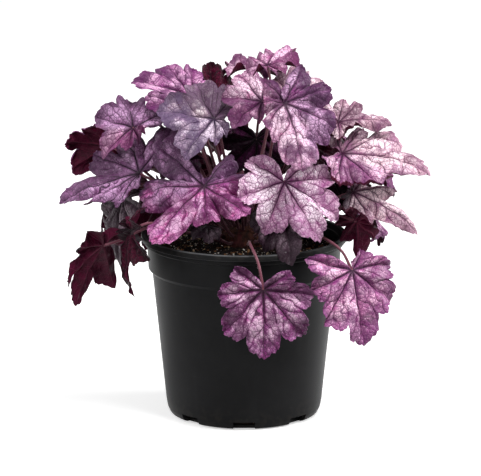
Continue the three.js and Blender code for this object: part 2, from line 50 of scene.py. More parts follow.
POT_HEIGHT = 150
LIP_RADIUS = 84  # outside of the rolled lip, the widest place
LIP_HEIGHT = 4.6
LIP_EDGE = 0.8  # bevel of the lip's upper edge
RIDGE_RADIUS = 81.3  # the low ridge under the lip
RIDGE_BOTTOM = 142
RIDGE_SLOPE = 1  # height of the slope from the band out to the ridge
RIDGE_INSIDE = 2  # how much higher the wall starts to widen on the inside
BAND_RADIUS = 79  # the upright band under the ridge
BAND_TAPER = 0.8  # how much the band narrows downwards
BAND_BOTTOM = 122  # height of the step under the band
STEP_HEIGHT = 3  # the slope from the band down to the tapered wall
WALL_TOP_RADIUS = 75  # the tapered wall, just under the step
WALL_FOOT_RADIUS = 63.5  # the tapered wall, just above the rounded foot
FOOT_HEIGHT = 12  # top of the rounded foot
FOOT_RADIUS = 57  # edge of the flat underside
FOOT_ROUND = [(FOOT_RADIUS + 4, 1.6), (WALL_FOOT_RADIUS - 0.6, 5.5)]  # radius and height on the way up
WALL = 1.6
FLOOR = 2.4

NOTCHES = 8  # drain notches round the foot, one at the front
NOTCH_WIDTH = 17.5
NOTCH_HEIGHT = 7
NOTCH_INNER_RADIUS = 54

SOIL_TOP = 141
SOIL_RISE = 1  # of the soil towards the crown
GAP = 0.35  # clearance between pieces that rest in or on each other

CROWN_RADIUS = 21
CROWN_RISE = 17  # above the soil
CROWN_DEPTH = 8  # below it
STALK_SOCKET = 3  # how deep a leaf stalk sits in the crown
STALK_STRAIGHT = 8  # length that leaves the crown before the first bend
STALK_NECK = 22  # length of the last bend, up to the blade
STALK_CLIMB = (14, 80)  # least and greatest slope at which a stalk leaves the crown, in degrees
ARRIVAL = dict(forward=0.55, upward=0.85)  # how a stalk comes up to its blade

LOBES = 3  # on each side of the tip lobe
CLOSED = 0.14  # reach of the outline where it closes beside the stalk
TOOTH = 0.055  # depth of the teeth, as a share of the reach
TOOTH_MEAN = 0.6  # of the wave that draws the teeth, so that they don't enlarge the leaf
TEETH = 3  # to each lobe
UNEVEN = dict(depth=0.06, rate=2.2)  # the margin's wander in and out: share of the reach, per lobe
CRINKLE = dict(height=0.7, turns=3.7)  # the second, finer wave, against the first
FOLD_POWER = 1.25  # how the folds grow from junction to margin
FOLD_ROUNDING = 0.04  # how round the bottom of a fold is
FOLD_MEAN = 0.6  # of the wave that draws the folds
CRUMPLE = (1.9, 5, 20)  # the uneven waves all over a blade: height, length and seed
ROLL_START = 0.76  # share of the way out where the margin starts to turn
ROLL = dict(spread=40, rate=1.9, seed=60)  # how the turn differs round a leaf, in degrees
CURL_POWER = 2  # how soon, away from the tip, the fall of the sides begins
EDGE_POWER = 0.6  # the same for the turn of the side margins
WAVES = 5  # plane waves in a wander
WAVE_GAIN = 1.6  # brings their mean to a reach of about 1


# ---- what this script adds -------------------------------------------------------------------------

POT_SIDES = 240
POT_FILLET = 0.45  # radius on the pot's edges
POT_SHARP = 35  # degrees between faces from which an edge is drawn sharp
DUSTY_FOOT = (4, 26)  # heights between which the dust of the foot fades out
DUSTY_RIM = (POT_HEIGHT - 7, POT_HEIGHT - 1)  # heights between which that of the rim fades in
LIP_LINE = dict(upper=(0.7, 0.2), lower=(0.2, 0.6))  # how far from the lip's edges its lines of painted highlight fade

SOIL_SIDES = 220
SOIL_RINGS = 64
SOIL_NOTCH_GAP = 1  # clearance between the soil and the drain notches
SOIL_SUNK = 0.4  # of the lumpy top under the solid's, on the whole
SOIL_SHOULDER = 3  # of its side under the top, where the lumps begin
SOIL_FALL = 12  # width of the ring beside the pot where the soil falls away
SOIL_LUMPS = [(0.9, 5, 3), (0.45, 1.7, 8)]  # height, length and seed
SOIL_CALM = dict(from_band=2.5, width=6, least=0.35)  # where the lumps lie flatter, beside the pot

RANDOM_SEEDS = dict(chips=11, perlite=23, scales=5, hairs=1000)

CHIPS = 1900
CHIP_LENGTH = (1.2, 5.5)
CHIP_SHAPE = (0.3, 0.6)  # of width to length, and of thickness to width
CHIP_THICKNESS = 1.2  # at most
CHIP_RISE = (0.0, 0.5)  # of its middle over the soil, as a share of its thickness
CHIP_TILT = (0.35, 0.4)  # usual tilt along and across, in radians
CHIP_CORNERS = [(0.7, 1), (0.5, 1), (0.5, 1)]  # how unevenly they are cut, along, across and through
PERLITE = 620
PERLITE_RADIUS = (0.25, 1.0)
PERLITE_STRETCH = [(0.7, 1.2), (0.7, 1.2), (0.5, 0.9)]  # along X, Y and Z
PERLITE_CORNERS = (0.72, 1.1)  # how unevenly a grain is rounded
STREWN = dict(from_crown=1.0, from_band=3.2)  # the ring of soil that chips and grains lie in

DOME = 0.94  # height of the crown's dome, as a share of the solid's
DOME_SIDES = 72
DOME_RINGS = 26
DOME_LUMPS = dict(depth=0.045, turns=8, length=2.2, seed=5, inset=0.03)
DOME_FOOT = 1.5  # how much narrower the crown's underside is
SCALES = 90  # of old leaf stalks on the crown
SCALE_WIDTH = (1.6, 3.0)  # to each side
SCALE_LENGTH = (2.5, 4.5)
SCALE_REACH = dict(low=0.6, high=0.5, crest=0.8)  # shares of the length down and up, and of the width
SCALE_SPREAD = (0.06, 0.98)  # sines of the lowest and highest slope at which a scale stands
SCALE = dict(low=-1.2, crest=0.9, high=0.5, root=-2.0)  # how far its corners stand off the dome
GOLDEN_TURN = 2.399963  # radians between one scale and the next

BLADE = 0.5  # thickness of a blade between its veins
BLADE_TAPER = (1.25, 0.5)  # thickness at the junction, and what it loses up to the margin, in shares
JUNCTION = (0.4, 0.9)  # blade thicknesses from the junction up to the upper face and down to the lower
CELL = 2.5  # size of a blade's faces from junction to margin
FEWEST_RINGS = 9
COLUMNS = 24  # of faces to a lobe, on a large leaf
SMALL_COLUMNS = 18
LARGE_LEAF = 38
CROWDING = 1.35  # how much closer the rings of faces lie towards the margin
FRINGE = dict(depth=0.03, teeth=3, phase=0.4)  # the small scallops on each tooth
TOOTH_TURN = 1.1  # how far the teeth stand above and below the blade
FLUTTER = (1.4, 2.4, 30)  # the fine waves along the margin: height, length and seed

BRANCHES = 3.3  # side veins along a main vein, on each side
BRANCH_LEAN = 1.45  # how far a side vein runs forward for each step outward
BRANCH_BEND = 0.3  # how unevenly the side veins are spaced
BRANCH_SHIFT = 0.25  # spacings by which those of the two sides stand apart
BRANCH_START = (0.12, 0.15)  # share of the vein where side veins begin to sink in, and their fade-in
BRANCH_SUNK = 0.75  # depth of a side vein against that of a main vein
VEIN_BEND = 1.2  # how far a main vein wanders from a straight line
VEIN_WANDER = [(1, 8, 0), (0.45, 2.6, 70)]  # height, length and seed
BRANCH_WANDER = [(1, 7, 50), (0.5, 2.6, 60)]
VEIN_WIDTH = 1.5  # of the hollow along a vein
QUILT = 1.4  # height of the blade between its veins
QUILT_MEAN = 0.6  # of the wave that draws the quilting
QUILTED_SIZE = 50  # tip lobe of a leaf that has just this height; a larger leaf has more
PUCKER = (0.35, 2.2, 9)  # the small puckers between the veins: height, length and seed
GROOVE = 0.35  # extra depth of a main vein on the upper face
RIDGE = 0.5  # height of a main vein under the blade

PATTERN_SHIFT = 300  # from leaf to leaf, so that each has a part of the patterns to itself
DRAWS = dict(wave=1, crinkle=2, teeth=3, lift=10, sway=20, tone=40)  # first draw that each use takes

STALK_DEPTH = 0.8  # of a stalk's end under the blade's middle surface
STALK_RADII = [(0, 1.7), (0.15, 1.3), (0.85, 1.1), (1, 1.265)]  # at shares of the way up
STALK_GROOVE = 0.12  # depth along the stalk's upper side, as a share of the radius
STALK_SIDES = 10
STALK_STEPS = 26
HAIRS = 60  # on each stalk
HAIRY = (0.12, 0.96)  # shares of the way up a stalk between which its hairs grow
HAIR_LENGTH = (0.66, 1.1)
HAIR_LEAN = (-0.4, 0.5)  # of a hair's tip along the stalk
HAIR_RADIUS = 0.1  # where it leaves the stalk
HAIR_ROOT = 0.12  # depth in the stalk


# ---- leaves, as in the solids ----------------------------------------------------------------------

EVEN = (0.6, 0.74, 0.86, 1, 0.86, 0.74, 0.6)
SLIM = (0.4, 0.5, 0.65, 1, 0.65, 0.5, 0.4)
USUAL = dict(reach=EVEN, fan=(42, 42), notch=0.24, full=3, cup=8, curl=(15, 10, 10, 5), ruffle=8, wave=2.5,
             lift=0.09, droop=0.05, sway=6, edge=(0, 0, 0, 0), via=(), root=None, second=None, towards=0)


def leaf(at, aim, size, look, **rest):
    """A leaf's row: junction, (heading, pitch, roll), length of the tip lobe and look of the upper face.

    Then, where it isn't usual: the reach of the lobes from the minus side to the plus side, the fan from
    lobe to lobe on each side, depth and fullness of the cuts, the cup's rise, curl and edge in degrees at
    tip, plus side, minus side and back, the heights of ruffle and wave, lift and droop as shares of the
    size, sway in degrees, the stalk's bends (via) and its azimuth and elevation at the crown (root).
    second is a look that the blade changes to in the direction towards, in degrees from the tip.
    """
    return {**USUAL, "at": np.array(at, float), "aim": aim, "size": size, "look": look, **rest}


LEAVES = [
    # hanging over the front of the pot
    leaf((15, -97, 126), (-90, -84, 3), 56, "lilac",
         reach=(0.46, 0.66, 0.86, 0.97, 0.86, 0.66, 0.5), fan=(42, 42), notch=0.22, full=2.2, cup=4,
         curl=(6, 4, 4, 4), ruffle=5, wave=1, lift=0.04, droop=0.02, sway=3,
         via=((5, -78, 158), (11, -92, 147))),
    leaf((86, -72, 136), (-38, -76, 22), 62, "orchid",
         reach=(0.36, 0.58, 0.74, 0.97, 0.86, 0.62, 0.66), fan=(44, 38), notch=0.17, full=2.4, cup=4,
         curl=(8, 4, 4, 4), ruffle=6, wave=1, lift=0.04, droop=0.02, sway=3,
         via=((45, -44, 160), (65, -58, 158), (78, -67, 150))),
    leaf((30, -58, 181), (-72, -42, 18), 46, "smoke",
         reach=(0.4, 0.55, 0.78, 1, 0.8, 0.6, 0.4), notch=0.16, full=2.2, curl=(30, 20, 20, 10)),
    # facing the front
    leaf((32, -55, 204), (-50, -45, 22), 60, "silver",
         reach=(0.45, 0.62, 0.84, 0.92, 0.68, 0.64, 0.56), fan=(36, 49), curl=(20, 10, 5, 5), ruffle=9),
    leaf((-32, -51, 200), (-85, -44, 12), 56, "magenta",
         reach=(0.6, 0.66, 0.84, 0.62, 1.2, 1.0, 0.92), fan=(44, 46), curl=(25, 22, 12, 5),
         notch=0.38, ruffle=-14, second="dusk", towards=180),
    # left side
    leaf((-84, -30, 206), (-172, -15, -36), 67, "dusk",
         reach=(0.36, 0.55, 0.8, 1, 0.62, 0.66, 0.75), fan=(20, 46), notch=0.32, full=2,
         curl=(5, 12, 15, 5), ruffle=-10, edge=(10, 0, 40, 0)),
    leaf((-89, -32, 243), (-150, -22, -40), 36, "rose",
         reach=(0.3, 0.3, 0.5, 0.85, 0.82, 0.8, 0.85), fan=(42, 60), curl=(20, 10, 15, 5),
         root=(150, 44), via=((-44, 21, 210), (-72, 5, 241), (-85, -20, 250)),
         ruffle=9, second="dusk", towards=120),
    leaf((-109, 26, 217), (165, -28, 60), 40, "mauve",
         reach=(0.6, 0.8, 1, 1, 0.7, 0.6, 0.5), curl=(20, 10, 15, 5), edge=(-100, -90, -40, 0)),
    leaf((-44, -12, 265), (178, 24, -50), 47, "mauve",
         reach=(0.3, 0.5, 0.75, 1, 0.8, 0.62, 0.5), curl=(15, 10, 15, 5)),
    # upper front
    leaf((-24, -45, 253), (-130, -25, -35), 42, "stone",
         reach=(0.3, 0.35, 0.5, 0.95, 0.98, 0.9, 0.75), fan=(44, 58), curl=(20, 10, 15, 5),
         second="mist", towards=-20),
    leaf((14, -38, 266), (-150, -25, -45), 32, "blush", root=(-78, 74),
         reach=(0.35, 0.35, 0.45, 1, 1, 1, 0.8), fan=(42, 46), curl=(20, 10, 15, 5)),
    leaf((32, -55, 268), (-60, -50, 25), 61, "blush", root=(-34, 60),
         reach=(0.55, 0.62, 0.76, 1, 0.42, 0.28, 0.42), fan=(46, 56), curl=(10, 10, 10, 5),
         ruffle=-13, second="violet", towards=-100),
    # top
    leaf((19, -4, 289), (75, 24, -12), 35, "rose", root=(4, 78),
         reach=(0.5, 0.6, 0.74, 1, 0.86, 0.74, 0.6)),
    leaf((-26, 14, 255), (92, 60, 0), 35, "wine", curl=(0, 10, -20, 5), ruffle=9),
    leaf((38, 6, 260), (20, 28, 45), 35, "ash"),
    # right side
    leaf((76, -10, 244), (-10, 6, 30), 46, "ash",
         reach=(0.85, 0.58, 0.46, 1, 0.46, 0.5, 0.4), notch=0.35, full=2, curl=(20, 10, 10, 5),
         ruffle=-7, edge=(-60, 110, 0, 0), via=((60, 6, 226),)),
    leaf((79, -30, 222), (-10, -4, 30), 72, "ash",
         reach=(0.4, 0.52, 0.7, 1, 0.74, 0.6, 0.3), fan=(40, 44), full=2, curl=(14, 8, 15, 5),
         ruffle=-10, edge=(-20, 110, 0, 0), second="orchid", towards=110),
    leaf((87, -40, 193), (-15, -23, 36), 62, "ash",
         reach=(0.35, 0.34, 0.6, 1, 0.7, 0.45, 0.22), fan=(38, 38), notch=0.45, full=1.3, curl=(10, 8, 12, 5),
         ruffle=-9, edge=(-30, 100, 0, 0), second="smoke", towards=150),
    leaf((91, -40, 169), (60, -80, 0), 29, "wine",
         reach=(0.5, 0.6, 0.7, 1, 0.7, 0.6, 0.5), curl=(10, 10, 10, 5),
         via=((74, -34, 172), (85, -38, 170)), root=(-10, 14)),
    # hanging on the left
    leaf((-98, -8, 180), (-165, -76, -20), 56, "smoke", reach=SLIM, curl=(10, 10, 10, 5)),
    leaf((-113, -48, 151), (170, -58, 28), 54, "wine",
         reach=(0.55, 0.6, 0.85, 1, 1, 0.5, 0.4), notch=0.38, full=1.8, fan=(42, 54), curl=(10, 10, 10, 5),
         via=((-72, -33, 163), (-99, -44, 154))),
    leaf((-90, -62, 166), (-150, -80, 6), 52, "wine",
         reach=(0.4, 0.4, 0.6, 1, 0.3, 0.26, 0.3), fan=(55, 42), notch=0.34, full=2, curl=(10, 10, 10, 5),
         via=((-58, -44, 164), (-77, -58, 171))),
    # small and inner leaves
    leaf((-29, -50, 167), (-130, -20, -30), 18, "smoke", ruffle=1, wave=1),
    leaf((10, 0, 228), (-90, -88, 0), 38, "plum", root=(-94, 60),
         via=((0, -15, 176), (8, 4, 212))),
    leaf((68, 3, 198), (-30, -45, 20), 30, "plum", root=(-7, 38)),
    # low round the back
    leaf((95, 8, 180), (4, -64, 5), 47, "lilac"),
    leaf((79, 64, 182), (40, -58, -6), 52, "orchid"),
    leaf((30, 88, 166), (71, -64, 4), 52, "dusk"),
    leaf((-23, 99, 184), (103, -58, -4), 50, "silver"),
    leaf((-64, 64, 166), (135, -64, 4), 52, "lilac"),
    leaf((-95, 36, 182), (158, -60, -6), 45, "smoke"),
    # halfway up round the back
    leaf((90, 22, 212), (16, -30, 8), 50, "lilac", root=(24, 22)),
    leaf((46, 72, 210), (57, -32, -8), 52, "magenta"),
    leaf((-36, 80, 214), (108, -26, 6), 46, "orchid"),
    leaf((-72, 55, 203), (140, -36, -6), 50, "dusk"),
    # upper back
    leaf((48, 38, 246), (40, -14, 6), 48, "mauve"),
    leaf((15, 55, 255), (74, -16, -6), 50, "stone"),
    leaf((-39, 47, 262), (126, -12, 4), 43, "rose"),
    leaf((-61, 19, 253), (170, -16, -4), 40, "lilac"),
    leaf((4, 30, 281), (86, -2, 0), 33, "blush"),
    # inside the plant
    leaf((-46, -12, 213), (-150, -20, -20), 26, "plum", root=(193, 48)),
    leaf((54, 34, 208), (46, -30, 6), 29, "plum", root=(34, 40)),
]


# ---- colours ---------------------------------------------------------------------------------------


def srgb(red, green, blue):
    """A colour given as 0-255 display values, as the linear colour that the shaders take."""
    def linear(value):
        share = value / 255
        return share / 12.92 if share <= 0.04045 else ((share + 0.055) / 1.055) ** 2.4
    return (linear(red), linear(green), linear(blue), 1)


def brightness(colour):
    """How light a linear colour is, from 0 to 1."""
    red, green, blue, _ = colour
    return 0.21 * red + 0.72 * green + 0.07 * blue


def look(pale, blade, margin, beside, flush, vein, paleness, painted_shade=0.88, gloss=0.25):
    """An upper face: its colours between the veins, on the blade at large, along the margin, beside the
    veins, in its blushes and on the veins, the strength of its pale patches, which are partly painted light,
    and of its dark patches, which are painted shade, and its gloss.
    """
    colours = dict(pale=pale, blade=blade, margin=margin, beside=beside, flush=flush, vein=vein)
    shades = {part: srgb(*colour) for part, colour in colours.items()}
    return dict(shades=shades, paleness=paleness, painted_shade=painted_shade, gloss=gloss)


LOOKS = {
    "lilac": look((234, 202, 222), (148, 82, 134), (128, 60, 120), (86, 36, 76), (176, 84, 150),
                  (48, 10, 38), 0.85, painted_shade=0.75),
    "orchid": look((240, 208, 224), (192, 128, 168), (150, 74, 138), (104, 46, 98), (184, 92, 158),
                   (56, 12, 48), 0.8, painted_shade=0.5),
    "silver": look((246, 230, 240), (214, 170, 198), (216, 180, 202), (138, 68, 124), (204, 128, 180),
                   (66, 18, 56), 0.95, painted_shade=0.4),
    "magenta": look((234, 200, 224), (156, 84, 140), (196, 130, 172), (104, 36, 86), (192, 80, 146),
                    (52, 10, 42), 0.75),
    "dusk": look((204, 168, 202), (160, 114, 154), (94, 54, 92), (84, 50, 82), (142, 80, 134), (32, 10, 30),
                 0.7, painted_shade=0.65),
    "violet": look((208, 174, 204), (142, 88, 130), (112, 62, 110), (78, 36, 76), (152, 78, 138),
                   (44, 14, 42), 0.7),
    "rose": look((238, 206, 224), (190, 122, 164), (152, 88, 134), (104, 42, 90), (178, 90, 144),
                 (58, 16, 48), 0.75, painted_shade=0.6),
    "mauve": look((228, 190, 214), (166, 106, 150), (140, 70, 128), (100, 44, 94), (168, 82, 152),
                  (56, 16, 50), 0.7),
    "stone": look((222, 212, 214), (168, 142, 154), (120, 98, 116), (92, 64, 90), (150, 108, 150),
                  (50, 30, 46), 0.85),
    "blush": look((232, 210, 222), (174, 122, 152), (168, 118, 148), (102, 50, 92), (184, 98, 146),
                  (58, 20, 50), 0.8),
    "mist": look((218, 204, 216), (164, 140, 160), (134, 110, 140), (98, 76, 108), (170, 130, 168),
                 (54, 34, 64), 0.8),
    "ash": look((238, 218, 224), (194, 156, 170), (186, 150, 164), (120, 72, 104), (170, 104, 148),
                (64, 26, 52), 0.9, painted_shade=0.5),
    "smoke": look((122, 106, 116), (76, 60, 70), (62, 42, 54), (44, 26, 38), (84, 50, 74), (26, 10, 20),
                  0.55, gloss=0.2),
    "wine": look((92, 6, 44), (50, 0, 24), (40, 0, 18), (24, 0, 12), (62, 0, 30), (12, 0, 5),
                 0.35, gloss=0.1),
    "plum": look((76, 34, 66), (46, 10, 38), (38, 8, 30), (24, 3, 18), (56, 8, 42), (10, 0, 6),
                 0.3, gloss=0.1),
}


# ---- materials -------------------------------------------------------------------------------------


class Finish:
    """A node material. Each call adds a node and returns the socket that it gives.

    Patterns on leaves run over the blade or stalk laid flat, in millimetres, and all others over the
    object, in metres, so a noise of scale 0.1 on a leaf is as coarse as one of scale 100 on the pot.
    """

    def __init__(self, name, roughness, specular, sheen=0.0, sheen_colour=(1, 1, 1, 1)):
        self.material = bpy.data.materials.new(name)
        self.material.use_nodes = True
        self.tree = self.material.node_tree
        self.surface = self.tree.nodes["Principled BSDF"].inputs
        self.put(self.surface["Roughness"], roughness)
        self.put(self.surface["Specular IOR Level"], specular)
        self.put(self.surface["Sheen Weight"], sheen)
        self.put(self.surface["Sheen Tint"], sheen_colour)

    def put(self, socket, value):
        if isinstance(value, bpy.types.NodeSocket):
            self.tree.links.new(value, socket)
        else:
            socket.default_value = value

    def node(self, kind, inputs, **settings):
        made = self.tree.nodes.new(kind)
        for key, value in settings.items():
            setattr(made, key, value)
        for key, value in inputs.items():
            self.put(made.inputs[key], value)
        return made

    def math(self, operation, *values):
        return self.node("ShaderNodeMath", dict(enumerate(values)), operation=operation).outputs[0]

    def plus(self, first, second):
        return self.math("ADD", first, second)

    def times(self, first, second):
        return self.math("MULTIPLY", first, second)

    def scaled(self, value, factor, offset):
        """value times factor, plus offset."""
        return self.math("MULTIPLY_ADD", value, factor, offset)

    def most(self, first, second):
        return self.math("MAXIMUM", first, second)

    def fade(self, value, low, high, start=0.0, end=1.0):
        """start up to low, end from high on, and a smooth change between."""
        return self.node("ShaderNodeMapRange", {
            "Value": value, "From Min": low, "From Max": high, "To Min": start, "To Max": end,
        }, interpolation_type="SMOOTHSTEP").outputs[0]

    def mix(self, share, first, second):
        return self.node("ShaderNodeMix", {0: share, 6: first, 7: second}, data_type="RGBA").outputs[2]

    def coats(self, colour, *coats):
        """A colour under coats of others, each given as its share and its colour."""
        for share, coat in coats:
            colour = self.mix(share, colour, coat)
        return colour

    def attribute(self, name, kind="Vector"):
        return self.node("ShaderNodeAttribute", {}, attribute_name=name).outputs[kind]

    def parts(self, vector):
        return self.node("ShaderNodeSeparateXYZ", {"Vector": vector}).outputs

    def noise(self, place, scale, detail=2.0, rough=0.5):
        return self.node("ShaderNodeTexNoise", {
            "Vector": place, "Scale": scale, "Detail": detail, "Roughness": rough,
        }).outputs["Fac"]

    def streaks(self, place, scales, detail=2.0, rough=0.5):
        """Noise with a scale of its own along each axis."""
        return self.noise(self.stretched(place, scales), 1.0, detail, rough)

    def cells(self, place, scale, feature="DISTANCE_TO_EDGE"):
        made = self.node("ShaderNodeTexVoronoi", {"Vector": place, "Scale": scale}, feature=feature)
        return made.outputs["Distance"]

    def stretched(self, place, scales):
        return self.node("ShaderNodeMapping", {"Vector": place, "Scale": scales}).outputs[0]

    def place(self):
        """The place on the object, in metres."""
        return self.node("ShaderNodeTexCoord", {}).outputs["Object"]

    def finish(self, colour, height=None, depth=0.0, strength=1.0):
        """Gives the surface its colour and a fine relief whose height of 1 is depth millimetres."""
        self.put(self.surface["Base Color"], colour)
        if height is not None:
            sizes = {"Height": height, "Distance": depth * MM, "Strength": strength}
            self.put(self.surface["Normal"], self.node("ShaderNodeBump", sizes).outputs[0])
        return self.material


def vein_masks(m, flat):
    """Main veins, side veins, the net in two sizes, and how open the blade is between its veins."""
    across, branch, along = m.parts(m.attribute("vein"))
    ragged = m.scaled(m.noise(flat, 0.9), 0.5, -0.25)
    from_main = m.plus(m.math("ABSOLUTE", across), ragged)
    width = m.fade(along, 0.0, 1.0, 0.52, 0.2)
    main = m.fade(m.math("DIVIDE", from_main, width), 0.5, 1.5, 1.0, 0.0)
    count = m.plus(branch, m.times(m.math("SIGN", across), BRANCH_SHIFT))
    from_branch = m.math("ABSOLUTE", m.math("SUBTRACT", count, m.math("ROUND", count)))
    width = m.fade(along, 0.15, 0.95, 0.05, 0.026)
    branches = m.fade(m.math("DIVIDE", from_branch, width), 0.3, 1.1, 1.0, 0.0)
    branches = m.times(branches, m.fade(along, 0.14, 0.24))
    warp = m.noise(flat, 0.3)
    shift = m.node("ShaderNodeCombineXYZ", {0: warp, 1: warp}).outputs[0]
    warped = m.node("ShaderNodeVectorMath", {0: flat, 1: shift}, operation="ADD").outputs[0]
    coarse = m.cells(warped, 0.24)
    fine = m.cells(flat, 0.62)
    return dict(
        main=main, branches=branches, coarse=coarse, fine=fine, from_main=from_main, along=along,
        net=m.fade(coarse, 0.015, 0.075, 1.0, 0.0), mesh=m.fade(fine, 0.02, 0.16, 1.0, 0.0),
        between=m.math("MINIMUM", m.fade(from_main, 0.5, 3.6), m.fade(from_branch, 0.02, 0.22)))


def look_shades(m, first, second, flat, wash):
    """The colours of a look, or of its change into a second one along the blade's wash."""
    if second is None:
        return LOOKS[first]["shades"]
    drift = m.plus(wash, m.scaled(m.noise(flat, 0.07), 0.7, -0.35))
    change = m.fade(drift, 0.35, 0.65)
    return {part: m.mix(change, colour, LOOKS[second]["shades"][part])
            for part, colour in LOOKS[first]["shades"].items()}


def blade_patches(m, given, shades, flat, share, between):
    """A blade's colour before its veins: pale between them, flushed, with painted light and shade in sectors
    and patches, and tinted at the rim.
    """
    # drawn once for each sector between main veins: it makes some sectors paler and others darker, partly the
    # leaf's own colour and partly painted light and shade of the folds
    tone = m.attribute("tone", "Fac")
    blotch = m.noise(flat, 0.1, 3.0, 0.6)
    patch = m.noise(m.stretched(flat, (1.0, 1.0, 2.0)), 0.26)
    light = m.scaled(between, 0.45, m.times(tone, 0.38))
    light = m.plus(light, m.scaled(blotch, 2.6, -1.35))
    light = m.plus(light, m.scaled(patch, 0.9, -0.45))
    light = m.plus(light, m.fade(share, 0.72, 1.0, 0.0, -0.3))
    pale = m.times(m.fade(light, -0.25, 0.75), given["paleness"])
    flush = m.noise(m.stretched(flat, (1.0, 1.4, 1.0)), 0.085, 2.0, 0.4)
    rim = m.fade(m.plus(share, m.scaled(blotch, 0.5, -0.25)), 0.74, 1.0)
    # painted shade: dark patches that stand for the shadows of curled lobes and folds, in the colour beside
    # the veins
    shadow = m.scaled(tone, -0.1, m.noise(flat, 0.055))
    return m.coats(
        shades["blade"],
        (m.fade(flush, 0.5, 0.66, 0.0, 0.75), shades["flush"]),
        (pale, shades["pale"]),
        (m.times(rim, 0.6), shades["margin"]),
        (m.fade(shadow, 0.43, 0.6, 0.0, given["painted_shade"]), shades["beside"]))


def drawn_veins(m, colour, shades, masks, grain, share):
    """The mask of a blade's veins, and its colour with them, their net, the dark halo beside them and a
    painted highlight on the middles of the small cells.
    """
    net = m.most(m.times(masks["net"], 0.75), m.times(masks["mesh"], 0.42))
    halo = m.fade(masks["from_main"], 0.2, 2.2, 1.0, 0.0)
    halo = m.times(halo, m.fade(masks["along"], 0.05, 0.6, 0.8, 0.1))
    main = m.times(masks["main"], m.fade(masks["along"], 0.3, 1.0, 0.9, 0.6))
    veins = m.most(main, m.times(masks["branches"], 0.76))
    heart = m.fade(share, 0.02, 0.17, 0.85, 0.0)
    return veins, m.coats(
        colour,
        # painted highlight: the small cells are paler in their middles, where the fine relief domes up
        (m.times(m.fade(masks["fine"], 0.2, 0.6), 0.22), shades["pale"]),
        (m.times(m.fade(grain, 0.5, 0.75), 0.18), shades["pale"]),
        (net, shades["beside"]), (halo, shades["beside"]), (veins, shades["vein"]), (heart, shades["vein"]))


def deepened(m, colour, usual):
    """Darker where a colour is darker than the usual brightness, lighter where it is lighter."""
    level = m.node("ShaderNodeRGBToBW", {"Color": colour}).outputs[0]
    depth = m.fade(level, 0.3 * usual, 1.7 * usual, 0.78, 1.28)
    colour = m.node("ShaderNodeVectorMath", {0: colour, "Scale": depth}, operation="SCALE").outputs[0]
    return m.node("ShaderNodeHueSaturation", {"Saturation": 1.1, "Color": colour}).outputs[0]


FACES = {}  # upper faces made so far, by their looks


def leaf_face(first, second):
    """The upper face of a blade, in one look or changing from one to another across it."""
    if (first, second) in FACES:
        return FACES[first, second]
    given = LOOKS[first]
    name = f"leaf_{first}_to_{second}" if second else f"leaf_{first}"
    m = Finish(name, 0.5, given["gloss"], 0.05, (1, 0.86, 0.96, 1))
    flat = m.attribute("flat")
    share, wash, _ = m.parts(m.attribute("blade"))
    masks = vein_masks(m, flat)
    shades = look_shades(m, first, second, flat, wash)
    grain = m.noise(flat, 0.7, 3.0, 0.65)
    colour = blade_patches(m, given, shades, flat, share, masks["between"])
    veins, colour = drawn_veins(m, colour, shades, masks, grain, share)
    colour = deepened(m, colour, brightness(given["shades"]["blade"]))
    fine = m.times(m.fade(masks["fine"], 0.0, 0.4), 0.4)
    relief = m.scaled(m.fade(masks["coarse"], 0.0, 0.3), 0.8, fine)
    relief = m.plus(relief, m.times(veins, -0.8))
    relief = m.scaled(grain, 0.35, relief)
    m.put(m.surface["Roughness"], m.fade(grain, 0.3, 0.75, 0.34, 0.5))
    FACES[first, second] = m.finish(colour, relief, 0.5, 0.8)
    return FACES[first, second]


def leaf_back():
    """The underside of a blade: deep burgundy with raised, lighter veins."""
    m = Finish("leaf_underside", 0.55, 0.14, 0.04, (1, 0.5, 0.7, 1))
    flat = m.attribute("flat")
    share = m.parts(m.attribute("blade"))[0]
    masks = vein_masks(m, flat)
    patch = m.noise(flat, 0.12, 3.0, 0.6)
    veins = m.most(masks["main"], m.times(masks["branches"], 0.7))
    colour = m.coats(
        srgb(48, 0, 22),
        (m.fade(patch, 0.3, 0.75), srgb(84, 4, 42)),
        (m.fade(share, 0.75, 1.0, 0.0, 0.5), srgb(84, 24, 52)),
        (m.times(masks["net"], 0.35), srgb(92, 24, 54)),
        (m.times(veins, 0.7), srgb(104, 40, 62)))
    relief = m.scaled(patch, 0.4, m.scaled(masks["net"], 0.5, veins))
    return m.finish(colour, relief, 0.4, 0.8)


def stalk_skin():
    """Stalks: maroon, dusty pink higher up, with fine streaks along them."""
    m = Finish("leaf_stalk", 0.5, 0.35, 0.2, (1, 0.8, 0.85, 1))
    place = m.attribute("flat")
    share = m.parts(m.attribute("blade"))[0]
    streak = m.streaks(place, (0.05, 1.6, 1.0), 3.0, 0.6)
    speck = m.noise(place, 0.8)
    colour = m.coats(
        srgb(60, 20, 32),
        (m.fade(share, 0.1, 0.9), srgb(108, 50, 68)),
        (m.fade(streak, 0.45, 0.7, 0.0, 0.6), srgb(138, 86, 98)),
        (m.fade(speck, 0.6, 0.75, 0.0, 0.5), srgb(70, 18, 36)))
    return m.finish(colour, streak, 0.15, 0.7)


def hair_skin():
    """The short hairs of a stalk: pale, and dusty rose in places."""
    m = Finish("leaf_hair", 0.5, 0.4)
    return m.finish(m.mix(m.noise(m.attribute("flat"), 0.6), srgb(206, 176, 180), srgb(160, 104, 118)))


def lip_lines(m, height):
    """The lines of painted highlight along the upper and lower edges of the pot's lip."""
    start, end = LIP_LINE["upper"]
    upper = m.fade(height, (POT_HEIGHT - start) * MM, (POT_HEIGHT - end) * MM)
    from_lower = m.math("ABSOLUTE", m.math("SUBTRACT", height, (POT_HEIGHT - LIP_HEIGHT) * MM))
    start, end = LIP_LINE["lower"]
    return m.most(upper, m.fade(from_lower, start * MM, end * MM, 1.0, 0.0))


